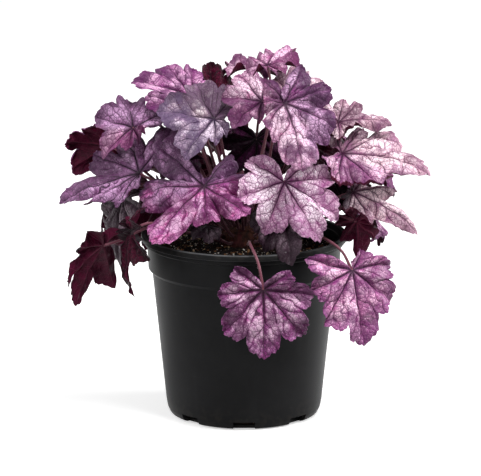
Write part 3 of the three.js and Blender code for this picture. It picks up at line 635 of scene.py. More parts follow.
def pot_plastic():
    """Black moulded plastic: satin, with fine grain, flow lines, scuffs, a little dust, and a painted
    highlight along the edges of the lip.
    """
    m = Finish("pot_plastic", 0.4, 0.055)
    place = m.place()
    height = m.parts(place)[2]
    fine = m.noise(place, 2600.0, 3.0, 0.6)
    broad = m.noise(place, 26.0, 4.0, 0.6)
    flow = m.streaks(place, (60.0, 60.0, 8.0), 3.0, 0.55)
    scuff = m.streaks(place, (30.0, 30.0, 700.0), 2.0, 0.7)
    scuffs = m.times(m.fade(scuff, 0.66, 0.78), m.fade(broad, 0.5, 0.7))
    low = m.fade(height, DUSTY_FOOT[0] * MM, DUSTY_FOOT[1] * MM, 0.09, 0.0)
    rim = m.fade(height, DUSTY_RIM[0] * MM, DUSTY_RIM[1] * MM, 0.0, 0.12)
    dust = m.times(m.plus(low, rim), m.fade(m.noise(place, 190.0, 3.0), 0.42, 0.7))
    # painted highlight: light grey lines along the upper and lower edges of the lip, stronger in places
    lip_highlight = m.times(lip_lines(m, height), m.fade(m.noise(place, 40.0, 3.0), 0.3, 0.6, 0.25, 0.6))
    colour = m.coats(
        srgb(27, 27, 28),
        (m.fade(broad, 0.3, 0.8), srgb(34, 34, 35)),
        (m.times(m.fade(flow, 0.55, 0.75), 0.35), srgb(40, 40, 41)),
        (m.times(scuffs, 0.3), srgb(72, 73, 74)),
        (dust, srgb(92, 84, 76)), (lip_highlight, srgb(104, 105, 107)))
    m.put(m.surface["Roughness"], m.scaled(broad, 0.16, m.scaled(scuffs, 0.15, 0.34)))
    return m.finish(colour, m.scaled(fine, 0.5, m.times(flow, 0.8)), 0.12, 0.5)


def soil_mix():
    """Damp peat and composted bark, nearly black with warm crumbs and pale grit."""
    m = Finish("potting_mix", 0.85, 0.3)
    place = m.place()
    crumb = m.cells(place, 420.0, "F1")
    grain = m.noise(place, 900.0, 4.0, 0.7)
    patch = m.noise(place, 70.0, 3.0, 0.6)
    gritty = m.fade(m.noise(place, 260.0), 0.56, 0.62)
    grit = m.times(m.fade(crumb, 0.06, 0.16, 1.0, 0.0), gritty)
    colour = m.coats(
        srgb(13, 8, 7),
        (m.fade(patch, 0.35, 0.7), srgb(32, 20, 15)),
        (m.fade(grain, 0.56, 0.72, 0.0, 0.7), srgb(78, 50, 34)),
        (m.times(grit, 0.9), srgb(196, 168, 132)))
    return m.finish(colour, m.scaled(crumb, 0.8, grain), 1.0, 1.0)


def bark():
    """Chips of bark, each with its own shade from black-brown through red-brown to straw."""
    m = Finish("soil_bark", 0.75, 0.35)
    shade = m.attribute("shade", "Fac")
    grain = m.streaks(m.place(), (500.0, 1400.0, 700.0), 3.0, 0.6)
    colour = m.coats(
        srgb(17, 10, 8),
        (m.fade(shade, 0.3, 0.6), srgb(56, 32, 22)),
        (m.fade(shade, 0.7, 0.9), srgb(156, 112, 76)),
        (m.fade(shade, 0.9, 0.97), srgb(236, 210, 168)),
        (m.fade(grain, 0.5, 0.75, 0.0, 0.5), srgb(40, 22, 14)))
    return m.finish(colour, grain, 0.3, 0.8)


def perlite():
    """Expanded volcanic glass: off-white, chalky and pitted."""
    m = Finish("soil_perlite", 0.8, 0.4)
    place = m.place()
    pits = m.cells(place, 1900.0, "F1")
    stain = m.fade(m.noise(place, 160.0), 0.52, 0.72, 0.0, 0.5)
    colour = m.coats(srgb(190, 176, 158), (m.fade(pits, 0.1, 0.5), srgb(246, 240, 232)),
                     (stain, srgb(150, 120, 90)))
    return m.finish(colour, pits, 0.3, 1.0)


def crown_wood():
    """The stock: scaly brown bark with maroon bud scales."""
    m = Finish("crown_wood", 0.8, 0.25)
    place = m.place()
    fibre = m.streaks(place, (260.0, 260.0, 60.0), 4.0, 0.7)
    patch = m.fade(m.noise(place, 120.0, 3.0), 0.5, 0.7, 0.0, 0.6)
    colour = m.coats(srgb(34, 16, 14), (m.fade(fibre, 0.35, 0.7), srgb(92, 52, 40)),
                     (patch, srgb(88, 26, 40)))
    return m.finish(colour, fibre, 0.8, 1.0)


def floor_paint():
    """A white floor with a faint glow of its own, so that it stays white up to its edge."""
    m = Finish("studio_floor", 0.9, 0.1)
    m.put(m.surface["Emission Color"], (1, 1, 1, 1))
    m.put(m.surface["Emission Strength"], 0.4)
    return m.finish(m.mix(m.noise(m.place(), 0.6), srgb(246, 246, 246), srgb(249, 249, 249)))


# ---- mesh tools ------------------------------------------------------------------------------------

TURN = 2 * math.pi
BRICK_CORNERS = [(x, y, z) for x in (-0.5, 0.5) for y in (-0.5, 0.5) for z in (-0.5, 0.5)]
BRICK_SIDES = [(0, 1, 3, 2), (4, 6, 7, 5), (0, 4, 5, 1), (2, 3, 7, 6), (0, 2, 6, 4), (1, 5, 7, 3)]


def add_object(name, data):
    made = bpy.data.objects.new(name, data)
    bpy.context.scene.collection.objects.link(made)
    return made


def add_mesh(name, points, faces):
    """A mesh object from points in millimetres."""
    mesh = bpy.data.meshes.new(name)
    mesh.from_pydata((np.array(points) * MM).tolist(), [], faces)
    return add_object(name, mesh)


def piece(name, points, faces, materials, node, sharp=60, replaces=True):
    """A smooth-shaded piece that rides on the plant's one body, in place of its node or beside it."""
    made = add_mesh(name, points, faces)
    mesh = made.data
    for material in materials:
        mesh.materials.append(material)
    mesh.polygons.foreach_set("use_smooth", [True] * len(faces))
    mesh.update()
    mesh.set_sharp_from_angle(angle=math.radians(sharp))
    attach(made, "root")
    if replaces:
        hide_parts(node)
    return made


def write_values(mesh, name, domain, values):
    """Stores a number or a vector for each point or corner of a mesh, for its material to read."""
    values = np.asarray(values, np.float32)
    kind, field = ("FLOAT", "value") if values.ndim == 1 else ("FLOAT_VECTOR", "vector")
    made = mesh.attributes.new(name, kind, domain)
    made.data.foreach_set(field, values.ravel())


def direction(azimuth, elevation):
    """The unit vector at two angles in radians."""
    level = math.cos(elevation)
    return np.array([level * math.cos(azimuth), level * math.sin(azimuth), math.sin(elevation)])


def unit(vector):
    return vector / np.linalg.norm(vector)


def smooth(share):
    """A soft step from 0 to 1."""
    return share * share * (3 - 2 * share)


def soft_step(value, start, width):
    """0 up to start, 1 from start + width on, and a soft step between."""
    return smooth(np.clip((value - start) / width, 0, 1))


def wobble(u, v, seed):
    """A smooth repeatable wander between about -1 and 1, one wave to about 6.3 units."""
    total = np.zeros(np.broadcast(u, v).shape)
    for k in range(WAVES):
        heading = 2.4 * k + 1.7 * seed
        rate = 0.7 + 0.35 * k
        phase = 5.1 * k + 2.3 * seed
        total += np.sin(rate * (u * math.cos(heading) + v * math.sin(heading)) + phase)
    return total / WAVES * WAVE_GAIN


def wander(u, v, seed, *layers):
    """A sum of wobbles, each given as its height, its length and a seed of its own."""
    return sum(height * wobble(u / length, v / length, seed + own) for height, length, own in layers)


def rounded(profile, radius, steps=4):
    """An open outline with its inner corners turned into short curves."""
    points = [np.array(profile[0], float)]
    for corner_points in zip(profile, profile[1:], profile[2:]):
        before, corner, after = (np.array(p, float) for p in corner_points)
        back, ahead = before - corner, after - corner
        cut = min(radius, 0.4 * np.linalg.norm(back), 0.4 * np.linalg.norm(ahead))
        start = corner + unit(back) * cut
        end = corner + unit(ahead) * cut
        for k in range(steps + 1):
            t = k / steps
            points.append((1 - t) ** 2 * start + 2 * t * (1 - t) * corner + t ** 2 * end)
    points.append(np.array(profile[-1], float))
    return points


def ring_faces(rings, sides):
    """Quads between rings of points that follow each other, each ring closed on itself."""
    faces = []
    for low in range(0, (rings - 1) * sides, sides):
        for j in range(sides):
            following = (j + 1) % sides
            faces.append((low + j, low + following, low + sides + following, low + sides + j))
    return faces


def lathe(profile, sides):
    """Points and faces of a closed body turned about Z; the outline starts and ends on the axis."""
    angles = TURN * np.arange(sides) / sides
    points = [(r * math.cos(a), r * math.sin(a), z) for r, z in profile[1:-1] for a in angles]
    points += [(0, 0, profile[0][1]), (0, 0, profile[-1][1])]
    top, first, last = len(points) - 2 - sides, len(points) - 2, len(points) - 1
    faces = ring_faces(len(profile) - 2, sides)
    for j in range(sides):
        following = (j + 1) % sides
        faces += [(first, following, j), (top + j, top + following, last)]
    return np.array(points), faces


# ---- pot -------------------------------------------------------------------------------------------


def wall_radius(z):
    """Outside radius of the tapered wall at a height."""
    share = (z - NOTCH_HEIGHT) / (BAND_BOTTOM - NOTCH_HEIGHT)
    return WALL_FOOT_RADIUS + (WALL_TOP_RADIUS - WALL_FOOT_RADIUS) * share


def notch_blocks():
    """The eight blocks that cut the drain notches round the foot."""
    points, faces = [], []
    for k in range(NOTCHES):
        turn = TURN * k / NOTCHES - math.pi / 2
        faces += [tuple(len(points) + c for c in side) for side in BRICK_SIDES]
        for x, y, z in BRICK_CORNERS:
            reach = NOTCH_INNER_RADIUS + (LIP_RADIUS - NOTCH_INNER_RADIUS) * (x + 0.5)
            across = NOTCH_WIDTH * y
            points.append((
                reach * math.cos(turn) - across * math.sin(turn),
                reach * math.sin(turn) + across * math.cos(turn), 2 * NOTCH_HEIGHT * z))
    return add_mesh("notch_blocks", points, faces)


def pot():
    """The moulded pot, with its drain notches cut through wall and floor."""
    outside = [
        (0, 0), (FOOT_RADIUS, 0), *FOOT_ROUND,
        (wall_radius(FOOT_HEIGHT), FOOT_HEIGHT), (WALL_TOP_RADIUS, BAND_BOTTOM - STEP_HEIGHT),
        (BAND_RADIUS - BAND_TAPER, BAND_BOTTOM), (BAND_RADIUS, RIDGE_BOTTOM - RIDGE_SLOPE),
        (RIDGE_RADIUS, RIDGE_BOTTOM), (RIDGE_RADIUS, POT_HEIGHT - LIP_HEIGHT),
        (LIP_RADIUS, POT_HEIGHT - LIP_HEIGHT), (LIP_RADIUS, POT_HEIGHT - LIP_EDGE),
        (LIP_RADIUS - LIP_EDGE, POT_HEIGHT),
    ]
    inside = [
        (RIDGE_RADIUS - LIP_EDGE, POT_HEIGHT), (BAND_RADIUS - WALL, RIDGE_BOTTOM + RIDGE_INSIDE),
        (BAND_RADIUS - BAND_TAPER - WALL, BAND_BOTTOM),
        (WALL_TOP_RADIUS - WALL, BAND_BOTTOM - STEP_HEIGHT),
        (wall_radius(FOOT_HEIGHT) - WALL, FOOT_HEIGHT), (FOOT_RADIUS, FLOOR), (0, FLOOR),
    ]
    points, faces = lathe(rounded(outside + inside, POT_FILLET), POT_SIDES)
    made = piece("pot_moulded", points, faces, [pot_plastic()], "pot", POT_SHARP)
    blocks = notch_blocks()
    cut = made.modifiers.new("notches", "BOOLEAN")
    cut.operation = "DIFFERENCE"
    cut.solver = "EXACT"
    cut.object = blocks
    graph = bpy.context.evaluated_depsgraph_get()
    mesh = bpy.data.meshes.new_from_object(made.evaluated_get(graph))
    made.modifiers.clear()
    made.data = mesh
    mesh.set_sharp_from_angle(angle=math.radians(POT_SHARP))
    bpy.data.objects.remove(blocks)


# ---- soil and crown --------------------------------------------------------------------------------


def soil_height(x, y):
    """Height of the soil's lumpy top at a place."""
    reach = np.hypot(x, y)
    rings = [CROWN_RADIUS, BAND_RADIUS - SOIL_FALL, BAND_RADIUS]
    rise = np.interp(reach, rings, [SOIL_RISE, -0.5 * SOIL_RISE, -SOIL_RISE])
    calm = np.clip((BAND_RADIUS - SOIL_CALM["from_band"] - reach) / SOIL_CALM["width"], 0, 1)
    strength = SOIL_CALM["least"] + (1 - SOIL_CALM["least"]) * calm
    return SOIL_TOP + rise + wander(x, y, 0, *SOIL_LUMPS) * strength - SOIL_SUNK


def soil():
    """The potting mix, which fills the pot to its lumpy top."""
    inset = WALL + GAP
    rim = BAND_RADIUS - BAND_TAPER - inset
    foot = NOTCH_INNER_RADIUS - SOIL_NOTCH_GAP
    side = [
        (0, FLOOR + GAP), (foot, FLOOR + GAP), (foot, NOTCH_HEIGHT + SOIL_NOTCH_GAP),
        (wall_radius(FOOT_HEIGHT) - inset, FOOT_HEIGHT),
        (WALL_TOP_RADIUS - inset, BAND_BOTTOM - STEP_HEIGHT + GAP), (rim, BAND_BOTTOM + GAP),
        (rim, SOIL_TOP - SOIL_SHOULDER),
    ]
    top = [(rim * (1 - k / SOIL_RINGS), SOIL_TOP) for k in range(SOIL_RINGS)]
    points, faces = lathe([*side, *top, (0, SOIL_TOP)], SOIL_SIDES)
    on_top = points[:, 2] >= SOIL_TOP
    points[on_top, 2] = soil_height(points[on_top, 0], points[on_top, 1])
    piece("soil_surface", points, faces, [soil_mix()], "soil", 80)


def soil_spot(rng):
    """A random place on the soil, even over its area."""
    inner = CROWN_RADIUS + STREWN["from_crown"]
    outer = BAND_RADIUS - WALL - STREWN["from_band"]
    reach = math.sqrt(rng.uniform(inner ** 2, outer ** 2))
    turn = rng.uniform(0, TURN)
    x, y = reach * math.cos(turn), reach * math.sin(turn)
    return Vector((x, y, float(soil_height(np.array(x), np.array(y)))))


def strewn_size(rng, sizes, power):
    """A random size from a least and a greatest one, mostly small."""
    return sizes[0] + (sizes[1] - sizes[0]) * rng.random() ** power


def chips():
    """Bark chips strewn over the soil: small uneven slabs, each with a shade of its own."""
    rng = random.Random(RANDOM_SEEDS["chips"])
    points, faces, shades = [], [], []
    for _ in range(CHIPS):
        length = strewn_size(rng, CHIP_LENGTH, 3)
        width = length * rng.uniform(*CHIP_SHAPE)
        thick = min(width * rng.uniform(*CHIP_SHAPE), CHIP_THICKNESS)
        turn = Matrix.Rotation(rng.uniform(0, TURN), 3, "Z")
        for tilt, axis in zip(CHIP_TILT, "YX"):
            turn = turn @ Matrix.Rotation(rng.gauss(0, tilt), 3, axis)
        spot = soil_spot(rng) + Vector((0, 0, thick * rng.uniform(*CHIP_RISE)))
        faces += [tuple(len(points) + c for c in side) for side in BRICK_SIDES]
        for corner in BRICK_CORNERS:
            cut = [c * size * rng.uniform(*span)
                   for c, size, span in zip(corner, (length, width, thick), CHIP_CORNERS)]
            points.append(tuple(spot + turn @ Vector(cut)))
        shades += [rng.random()] * len(BRICK_CORNERS)
    made = piece("soil_bark_chips", points, faces, [bark()], "soil", 20, replaces=False)
    write_values(made.data, "shade", "POINT", shades)


def perlite_grains():
    """Perlite strewn over the soil: small, round, uneven grains."""
    rng = random.Random(RANDOM_SEEDS["perlite"])
    ball = bmesh.new()
    bmesh.ops.create_icosphere(ball, subdivisions=1, radius=1.0)
    corners = [v.co.copy() for v in ball.verts]
    sides = [tuple(v.index for v in f.verts) for f in ball.faces]
    ball.free()
    points, faces = [], []
    for _ in range(PERLITE):
        size = strewn_size(rng, PERLITE_RADIUS, 2)
        stretch = Vector([rng.uniform(*span) for span in PERLITE_STRETCH])
        spot = soil_spot(rng) + Vector((0, 0, 0.5 * size))
        faces += [tuple(len(points) + c for c in side) for side in sides]
        for corner in corners:
            points.append(tuple(spot + corner * stretch * size * rng.uniform(*PERLITE_CORNERS)))
    piece("soil_perlite", points, faces, [perlite()], "soil", 30, replaces=False)


def stock_dome():
    """Points and faces of the stock itself, a lumpy dome."""
    rise = DOME * CROWN_RISE
    dome = [(CROWN_RADIUS * math.cos(a), SOIL_TOP + rise * math.sin(a))
            for a in np.linspace(0, math.pi / 2, DOME_RINGS)[:-1]]
    bottom = SOIL_TOP - CROWN_DEPTH
    profile = [(0, bottom), (CROWN_RADIUS - DOME_FOOT, bottom), *dome, (0, SOIL_TOP + rise)]
    points, faces = lathe(profile, DOME_SIDES)
    turn = np.arctan2(points[:, 1], points[:, 0])
    x, y = DOME_LUMPS["turns"] * np.cos(turn), DOME_LUMPS["turns"] * np.sin(turn)
    lumps = wobble(x, y + points[:, 2] / DOME_LUMPS["length"], DOME_LUMPS["seed"])
    widening = 1 + DOME_LUMPS["depth"] * lumps - DOME_LUMPS["inset"]
    above = points[:, 2] > SOIL_TOP - 1
    points[above, :2] *= widening[above, None]
    return points, faces


def stalk_scale(rng, k):
    """The six corners of one scale, a thick flap that stands off the stock and points up."""
    climb = math.asin(rng.uniform(*SCALE_SPREAD))
    out = Vector(direction(GOLDEN_TURN * k, climb))
    foot = Vector((CROWN_RADIUS * out.x, CROWN_RADIUS * out.y, SOIL_TOP + DOME * CROWN_RISE * out.z))
    across = out.cross(Vector((0, 0, 1))).normalized()
    lift = across.cross(out).normalized()
    width, length = rng.uniform(*SCALE_WIDTH), rng.uniform(*SCALE_LENGTH)
    low = foot + SCALE["low"] * out - SCALE_REACH["low"] * length * lift
    high = foot + SCALE["high"] * out + SCALE_REACH["high"] * length * lift
    crest = foot + SCALE["crest"] * out
    aside = across * width
    crest_aside = aside * SCALE_REACH["crest"]
    return [low - aside, low + aside, crest + crest_aside, high, crest - crest_aside,
            foot + SCALE["root"] * out]


def crown():
    """The woody stock, ringed with the scales of old leaf stalks."""
    points, faces = stock_dome()
    points = points.tolist()
    rng = random.Random(RANDOM_SEEDS["scales"])
    for k in range(SCALES):
        a, b, c, d, e, f = range(len(points), len(points) + 6)
        points += [tuple(corner) for corner in stalk_scale(rng, k)]
        faces += [(a, b, c, e), (e, c, d), (b, a, f), (c, b, f), (d, c, f), (e, d, f), (a, e, f)]
    piece("crown_stock", points, faces, [crown_wood()], "crown", 50)


# ---- leaves ----------------------------------------------------------------------------------------


def draw(seed, k):
    """A repeatable draw between 0 and 1 for a leaf."""
    value = math.sin(seed * 12.9898 + k * 78.233) * 43758.5453
    return value - math.floor(value)


def blade_axes(row):
    """Tip line, side line and upper normal of a blade."""
    heading, pitch, roll = (math.radians(a) for a in row["aim"])
    tip = direction(heading, pitch)
    up = np.array([-math.sin(pitch) * math.cos(heading), -math.sin(pitch) * math.sin(heading),
                   math.cos(pitch)])
    side = np.cross(tip, up)
    normal = up * math.cos(roll) + side * math.sin(roll)
    side = side * math.cos(roll) - up * math.sin(roll)
    return tip, side, normal


def from_lobe_to_lobe(values, lobe):
    """One value for each lobe and one beyond each end, carried smoothly from lobe to lobe."""
    first = np.clip(np.floor(lobe + LOBES + 1), 0, len(values) - 2).astype(int)
    return values[first] + (values[first + 1] - values[first]) * smooth(lobe + LOBES + 1 - first)


def lobe_reach(row, lobe):
    """Reach of the lobes at an angle counted in lobes, without the cuts and teeth between them."""
    return from_lobe_to_lobe(np.array([CLOSED, *row["reach"], CLOSED]), lobe)


def lobe_draws(seed, use, lobe):
    """A draw between -1 and 1 for each lobe, carried smoothly from lobe to lobe."""
    values = [2 * draw(seed, DRAWS[use] + k) - 1 for k in range(2 * LOBES + 3)]
    return from_lobe_to_lobe(np.array(values), lobe)


def margin_reach(row, lobe):
    """Reach of the margin, with the cuts between the lobes, their teeth and the scallops on these."""
    nearest = np.clip(np.round(lobe), -LOBES, LOBES)
    off = np.minimum(1, 2 * np.abs(lobe - nearest))
    waves = TEETH * math.pi * lobe
    tooth = TOOTH * (np.abs(np.cos(waves)) - TOOTH_MEAN)
    fringe = FRINGE["depth"] * (np.abs(np.cos(FRINGE["teeth"] * waves + FRINGE["phase"])) - TOOTH_MEAN)
    cuts = (1 - row["notch"] * off ** row["full"]) * (1 + tooth + fringe)
    return lobe_reach(row, lobe) * cuts * (
        1 + UNEVEN["depth"] * wobble(UNEVEN["rate"] * lobe, 0.0, row["size"]))


def lobe_angle(row, lobe):
    """The angle from the tip, in radians, of a place counted in lobes."""
    return lobe * np.radians(np.where(np.asarray(lobe) > 0, row["fan"][1], row["fan"][0]))


def vein_place(row, seed, lobe, share, nearest):
    """Distance across from the vein of the nearest lobe, the count of side veins, the share along it,
    and the place on the flat blade."""
    angle = lobe_angle(row, lobe)
    off = angle - lobe_angle(row, nearest)
    out = row["size"] * margin_reach(row, lobe) * share
    length = row["size"] * lobe_reach(row, lobe)
    along = out * np.cos(off) / length
    u, v = out * np.sin(angle), out * np.cos(angle)
    bend = VEIN_BEND * wander(u, v, seed, *VEIN_WANDER) * np.clip(along * 1.5, 0, 1)
    across = out * np.sin(off) + bend
    count = BRANCHES * (along - BRANCH_LEAN * (np.abs(across) / length))
    count = count + BRANCH_BEND * wander(u, v, seed, *BRANCH_WANDER)
    return across, count, along, u, v


def round_leaf(angle, values, power):
    """Degrees given for the tip, the plus side, the minus side and the back, blended round a leaf."""
    tip, plus, minus, back = np.radians(values)
    aside = np.abs(np.sin(angle)) ** power
    return np.where(np.cos(angle) > 0, tip, back) * (1 - aside) + np.where(angle > 0, plus, minus) * aside


def fold(row, lobe):
    """Folds round a blade, from -0.5 to 0.5: sharp valleys along the main veins, or between the lobes
    where the ruffle is negative and the lobes are domed."""
    crest = np.sin(math.pi * lobe) if row["ruffle"] > 0 else np.cos(math.pi * lobe)
    softened = np.sqrt(crest ** 2 * (1 - FOLD_ROUNDING) + FOLD_ROUNDING)
    return np.sign(row["ruffle"]) * (softened - FOLD_MEAN)


def slopes(row, seed, lobe, share, angle):
    """How far out and how high a blade goes along lines that leave the junction upwards, fall towards
    the margin and turn there."""
    rise = math.radians(row["cup"])
    fall = round_leaf(angle, row["curl"], CURL_POWER)
    uneven = math.radians(ROLL["spread"]) * wobble(ROLL["rate"] * lobe, 0.0, seed + ROLL["seed"])
    roll = round_leaf(angle, row["edge"], EDGE_POWER) + uneven
    slope = rise - (fall + rise) * share + roll * soft_step(share, ROLL_START, 1 - ROLL_START)
    slope = np.vstack([np.full((1, lobe.shape[1]), rise), slope])
    slope = (slope[1:] + slope[:-1]) / 2
    steps = row["size"] * margin_reach(row, lobe) * np.diff(share, axis=0, prepend=0)
    return np.cumsum(steps * np.cos(slope), 0), np.cumsum(steps * np.sin(slope), 0)


def waves(row, seed, lobe, share, angle):
    """Height of a blade's folds, of its lifted and drooping lobes and of its long waves."""
    lifted = row["lift"] * share ** 2 * lobe_draws(seed, "lift", lobe)
    drooping = row["droop"] * share ** 4 * (0.5 + 0.5 * np.cos(TURN * lobe))
    wave = share ** 2 * np.sin(2 * angle + TURN * draw(seed, DRAWS["wave"]))
    crinkle = share ** 3 * np.sin(CRINKLE["turns"] * angle + TURN * draw(seed, DRAWS["crinkle"]))
    return (row["ruffle"] * share ** FOLD_POWER * fold(row, lobe) + row["size"] * (lifted - drooping)
            + row["wave"] * (wave + CRINKLE["height"] * crinkle))


def relief(row, seed, vein, share):
    """How far a blade stands above its smooth surface, and how near a main vein is."""
    across, count, along, u, v = vein
    near_main = np.exp(-(across / VEIN_WIDTH) ** 2)
    count = count + BRANCH_SHIFT * np.sign(across)
    from_branch = np.abs(count - np.round(count)) * row["size"] / BRANCHES
    near_branch = np.exp(-(from_branch / VEIN_WIDTH) ** 2) * soft_step(along, *BRANCH_START)
    puff = (1 - near_main) * (1 - BRANCH_SUNK * near_branch)
    quilt = QUILT * row["size"] / QUILTED_SIZE * (puff - QUILT_MEAN)
    pucker = wander(u, v, seed, PUCKER) * puff
    return soft_step(share, 0, 0.25) * (quilt + pucker), near_main * (1 - 0.5 * along)


def fine_waves(seed, lobe, share, u, v):
    """Height of a blade's turned teeth, its uneven waves and the flutter along its margin."""
    teeth = TOOTH_TURN * share ** 5 * np.sin(TEETH * math.pi * lobe + TURN * draw(seed, DRAWS["teeth"]))
    return teeth + share * wander(u, v, seed, CRUMPLE) + share ** 6 * wander(u, v, seed, FLUTTER)


def blade_grid(row):
    """Ring by ring, the angle in lobes and the share of the way out of each place on a blade."""
    per_lobe = COLUMNS if row["size"] > LARGE_LEAF else SMALL_COLUMNS
    rings = max(FEWEST_RINGS, round(row["size"] / CELL))
    lobes = np.linspace(-LOBES - 1, LOBES + 1, per_lobe * (2 * LOBES + 2) + 1)
    shares = 1 - (1 - np.arange(1, rings + 1) / rings) ** CROWDING
    return np.meshgrid(lobes, shares)


def blade_skin(row, middle, near_main, share):
    """Points of the upper face, its junction first, and then those of the underside in the same order."""
    normal = blade_axes(row)[2]
    normals = np.cross(np.gradient(middle, axis=1), np.gradient(middle, axis=0))
    normals /= np.linalg.norm(normals, axis=-1, keepdims=True)
    half = (BLADE / 2 * (BLADE_TAPER[0] - BLADE_TAPER[1] * share))[..., None]
    upper = middle + normals * (half - GROOVE * near_main[..., None])
    lower = middle - normals * (half + RIDGE * near_main[..., None])
    centres = row["at"] + normal * BLADE * JUNCTION[0], row["at"] - normal * BLADE * JUNCTION[1]
    return np.vstack([centres[0], upper.reshape(-1, 3), centres[1], lower.reshape(-1, 3)])


def blade_faces(rings, columns):
    """Faces of a blade, the column that each stands in, and 1 for those of the underside."""
    under = 1 + rings * columns
    faces, places, sides = [], [], []

    def at(ring, column):
        return 1 + ring * columns + column

    def add(column, side, *corners):
        faces.append(corners)
        places.append(column)
        sides.append(side)

    for j in range(columns - 1):
        add(j, 0, 0, at(0, j + 1), at(0, j))
        add(j, 1, under, under + at(0, j), under + at(0, j + 1))
        for i in range(rings - 1):
            a, b, c, d = at(i, j), at(i, j + 1), at(i + 1, j + 1), at(i + 1, j)
            add(j, 0, a, b, c, d)
            add(j, 1, under + d, under + c, under + b, under + a)
        a, b = at(rings - 1, j), at(rings - 1, j + 1)
        add(j, 0, a, b, under + b, under + a)
    first = [0, *(at(i, 0) for i in range(rings))]
    last = [0, *(at(i, columns - 1) for i in range(rings))]
    for a, b in zip(first, first[1:]):
        add(0, 0, a, b, under + b, under + a)
    for a, b in zip(last, last[1:]):
        add(columns - 2, 0, under + a, under + b, b, a)
    return faces, places, sides


def blade(row, seed):
    """A blade: points and faces of upper face, underside and the edge between them, and their places."""
    tip, side, normal = blade_axes(row)
    lobe, share = blade_grid(row)
    angle = lobe_angle(row, lobe)
    out, height = slopes(row, seed, lobe, share, angle)
    vein = vein_place(row, seed, lobe, share, np.clip(np.round(lobe), -LOBES, LOBES))
    u, v = vein[3:]
    raised, near_main = relief(row, seed, vein, share)
    height += waves(row, seed, lobe, share, angle) + raised + fine_waves(seed, lobe, share, u, v)
    swung = angle + math.radians(row["sway"]) * share * lobe_draws(seed, "sway", lobe)
    middle = (row["at"] + side * (out * np.sin(swung))[..., None] + tip * (out * np.cos(swung))[..., None]
              + normal * height[..., None])
    faces, places, sides = blade_faces(*lobe.shape)

    def with_junction(values):
        return np.concatenate([[0], values.ravel()])

    share_of = with_junction(share)
    shift = PATTERN_SHIFT * (seed + 1)
    flat = np.stack([with_junction(u) + shift, with_junction(v) + shift, 0 * share_of], -1)
    towards = with_junction(angle) - math.radians(row["towards"])
    wash = 0.5 + 0.5 * np.cos(towards) * np.clip(share_of * 2, 0, 1)
    return dict(points=blade_skin(row, middle, near_main, share), faces=faces, places=np.array(places),
                sides=sides, lobes=lobe[0], lobe=with_junction(lobe), share=share_of, flat=flat,
                surface=np.stack([share_of, wash, 0 * share_of], -1))


def corner_veins(row, seed, made):
    """Vein coordinates for each corner of each blade face, taken from the vein of the face's own lobe,
    and a draw that is the same all over the sector between two main veins, which makes the sector paler or
    darker: partly the leaf's own colour, partly painted light and shade of its fold."""
    middles = (made["lobes"][:-1] + made["lobes"][1:]) / 2
    sizes = [len(f) for f in made["faces"]]
    corners = np.concatenate(made["faces"]) % len(made["share"])
    nearest = np.clip(np.round(middles), -LOBES, LOBES)[made["places"]].repeat(sizes)
    lobe = np.where(corners == 0, nearest, made["lobe"][corners])
    veins = vein_place(row, seed, lobe, made["share"][corners], nearest)[:3]
    sector = np.floor(middles).astype(int) + LOBES + 1
    tones = np.array([2 * draw(seed, DRAWS["tone"] + k) - 1 for k in range(2 * LOBES + 2)])
    return np.stack(veins, -1), tones[sector][made["places"]].repeat(sizes)


def stalk_root(row):
    """Where a stalk leaves the crown: the way out and the point on the crown's surface."""
    x, y, z = row["at"]
    climb = math.degrees(math.atan2(z - SOIL_TOP - CROWN_RISE, math.hypot(x, y)))
    least, greatest = STALK_CLIMB
    usual = math.degrees(math.atan2(y, x)), min(max(climb, least), greatest)
    way = direction(*np.radians(row["root"] or usual))
    return way, way * (CROWN_RADIUS, CROWN_RADIUS, CROWN_RISE) + (0, 0, SOIL_TOP)


def through(points, steps):
    """A smooth line through points: a centripetal Catmull-Rom curve, steps + 1 places long."""
    points = [2 * points[0] - points[1], *points, 2 * points[-1] - points[-2]]
    spans = len(points) - 3
    line = []
    for k in range(steps + 1):
        place = spans * k / steps
        first = min(int(place), spans - 1)
        t = place - first
        p0, p1, p2, p3 = points[first:first + 4]
        d0, d1, d2 = (math.sqrt(np.linalg.norm(b - a)) for a, b in ((p0, p1), (p1, p2), (p2, p3)))
        t1 = d1 * ((p1 - p0) / d0 - (p2 - p0) / (d0 + d1) + (p2 - p1) / d1)
        t2 = d1 * ((p2 - p1) / d1 - (p3 - p1) / (d1 + d2) + (p3 - p2) / d2)
        line.append(p1 + t1 * t + (3 * (p2 - p1) - 2 * t1 - t2) * t ** 2
                    + (2 * (p1 - p2) + t1 + t2) * t ** 3)
    return line


def stalk_line(row):
    """The middle of a stalk, from its socket in the crown over its bends to the blade."""
    way, surface = stalk_root(row)
    tip, _, normal = blade_axes(row)
    arrival = unit(ARRIVAL["forward"] * tip + ARRIVAL["upward"] * normal)
    bends = [np.array(p, float) for p in row["via"]] or [row["at"] - STALK_NECK * arrival]
    return through([surface - STALK_SOCKET * way, surface + STALK_STRAIGHT * way, *bends,
                    row["at"] - STALK_DEPTH * normal], STALK_STEPS)


def stalk_frames(line):
    """For each place on a stalk: its middle, its way on, two lines across it, radius, length and share."""
    steps = len(line) - 1
    across = np.array((0.3, 0.2, 1.0))
    shares, radii = zip(*STALK_RADII)
    frames, run = [], 0.0
    for k, spot in enumerate(line):
        way = unit(line[min(k + 1, steps)] - line[max(k - 1, 0)])
        if k == 0:
            across = np.cross(way, across)
        else:
            run += np.linalg.norm(spot - line[k - 1])
        across = unit(across - way * np.dot(across, way))
        radius = np.interp(k / steps, shares, radii)
        frames.append((spot, way, across, np.cross(way, across), radius, run, k / steps))
    return frames


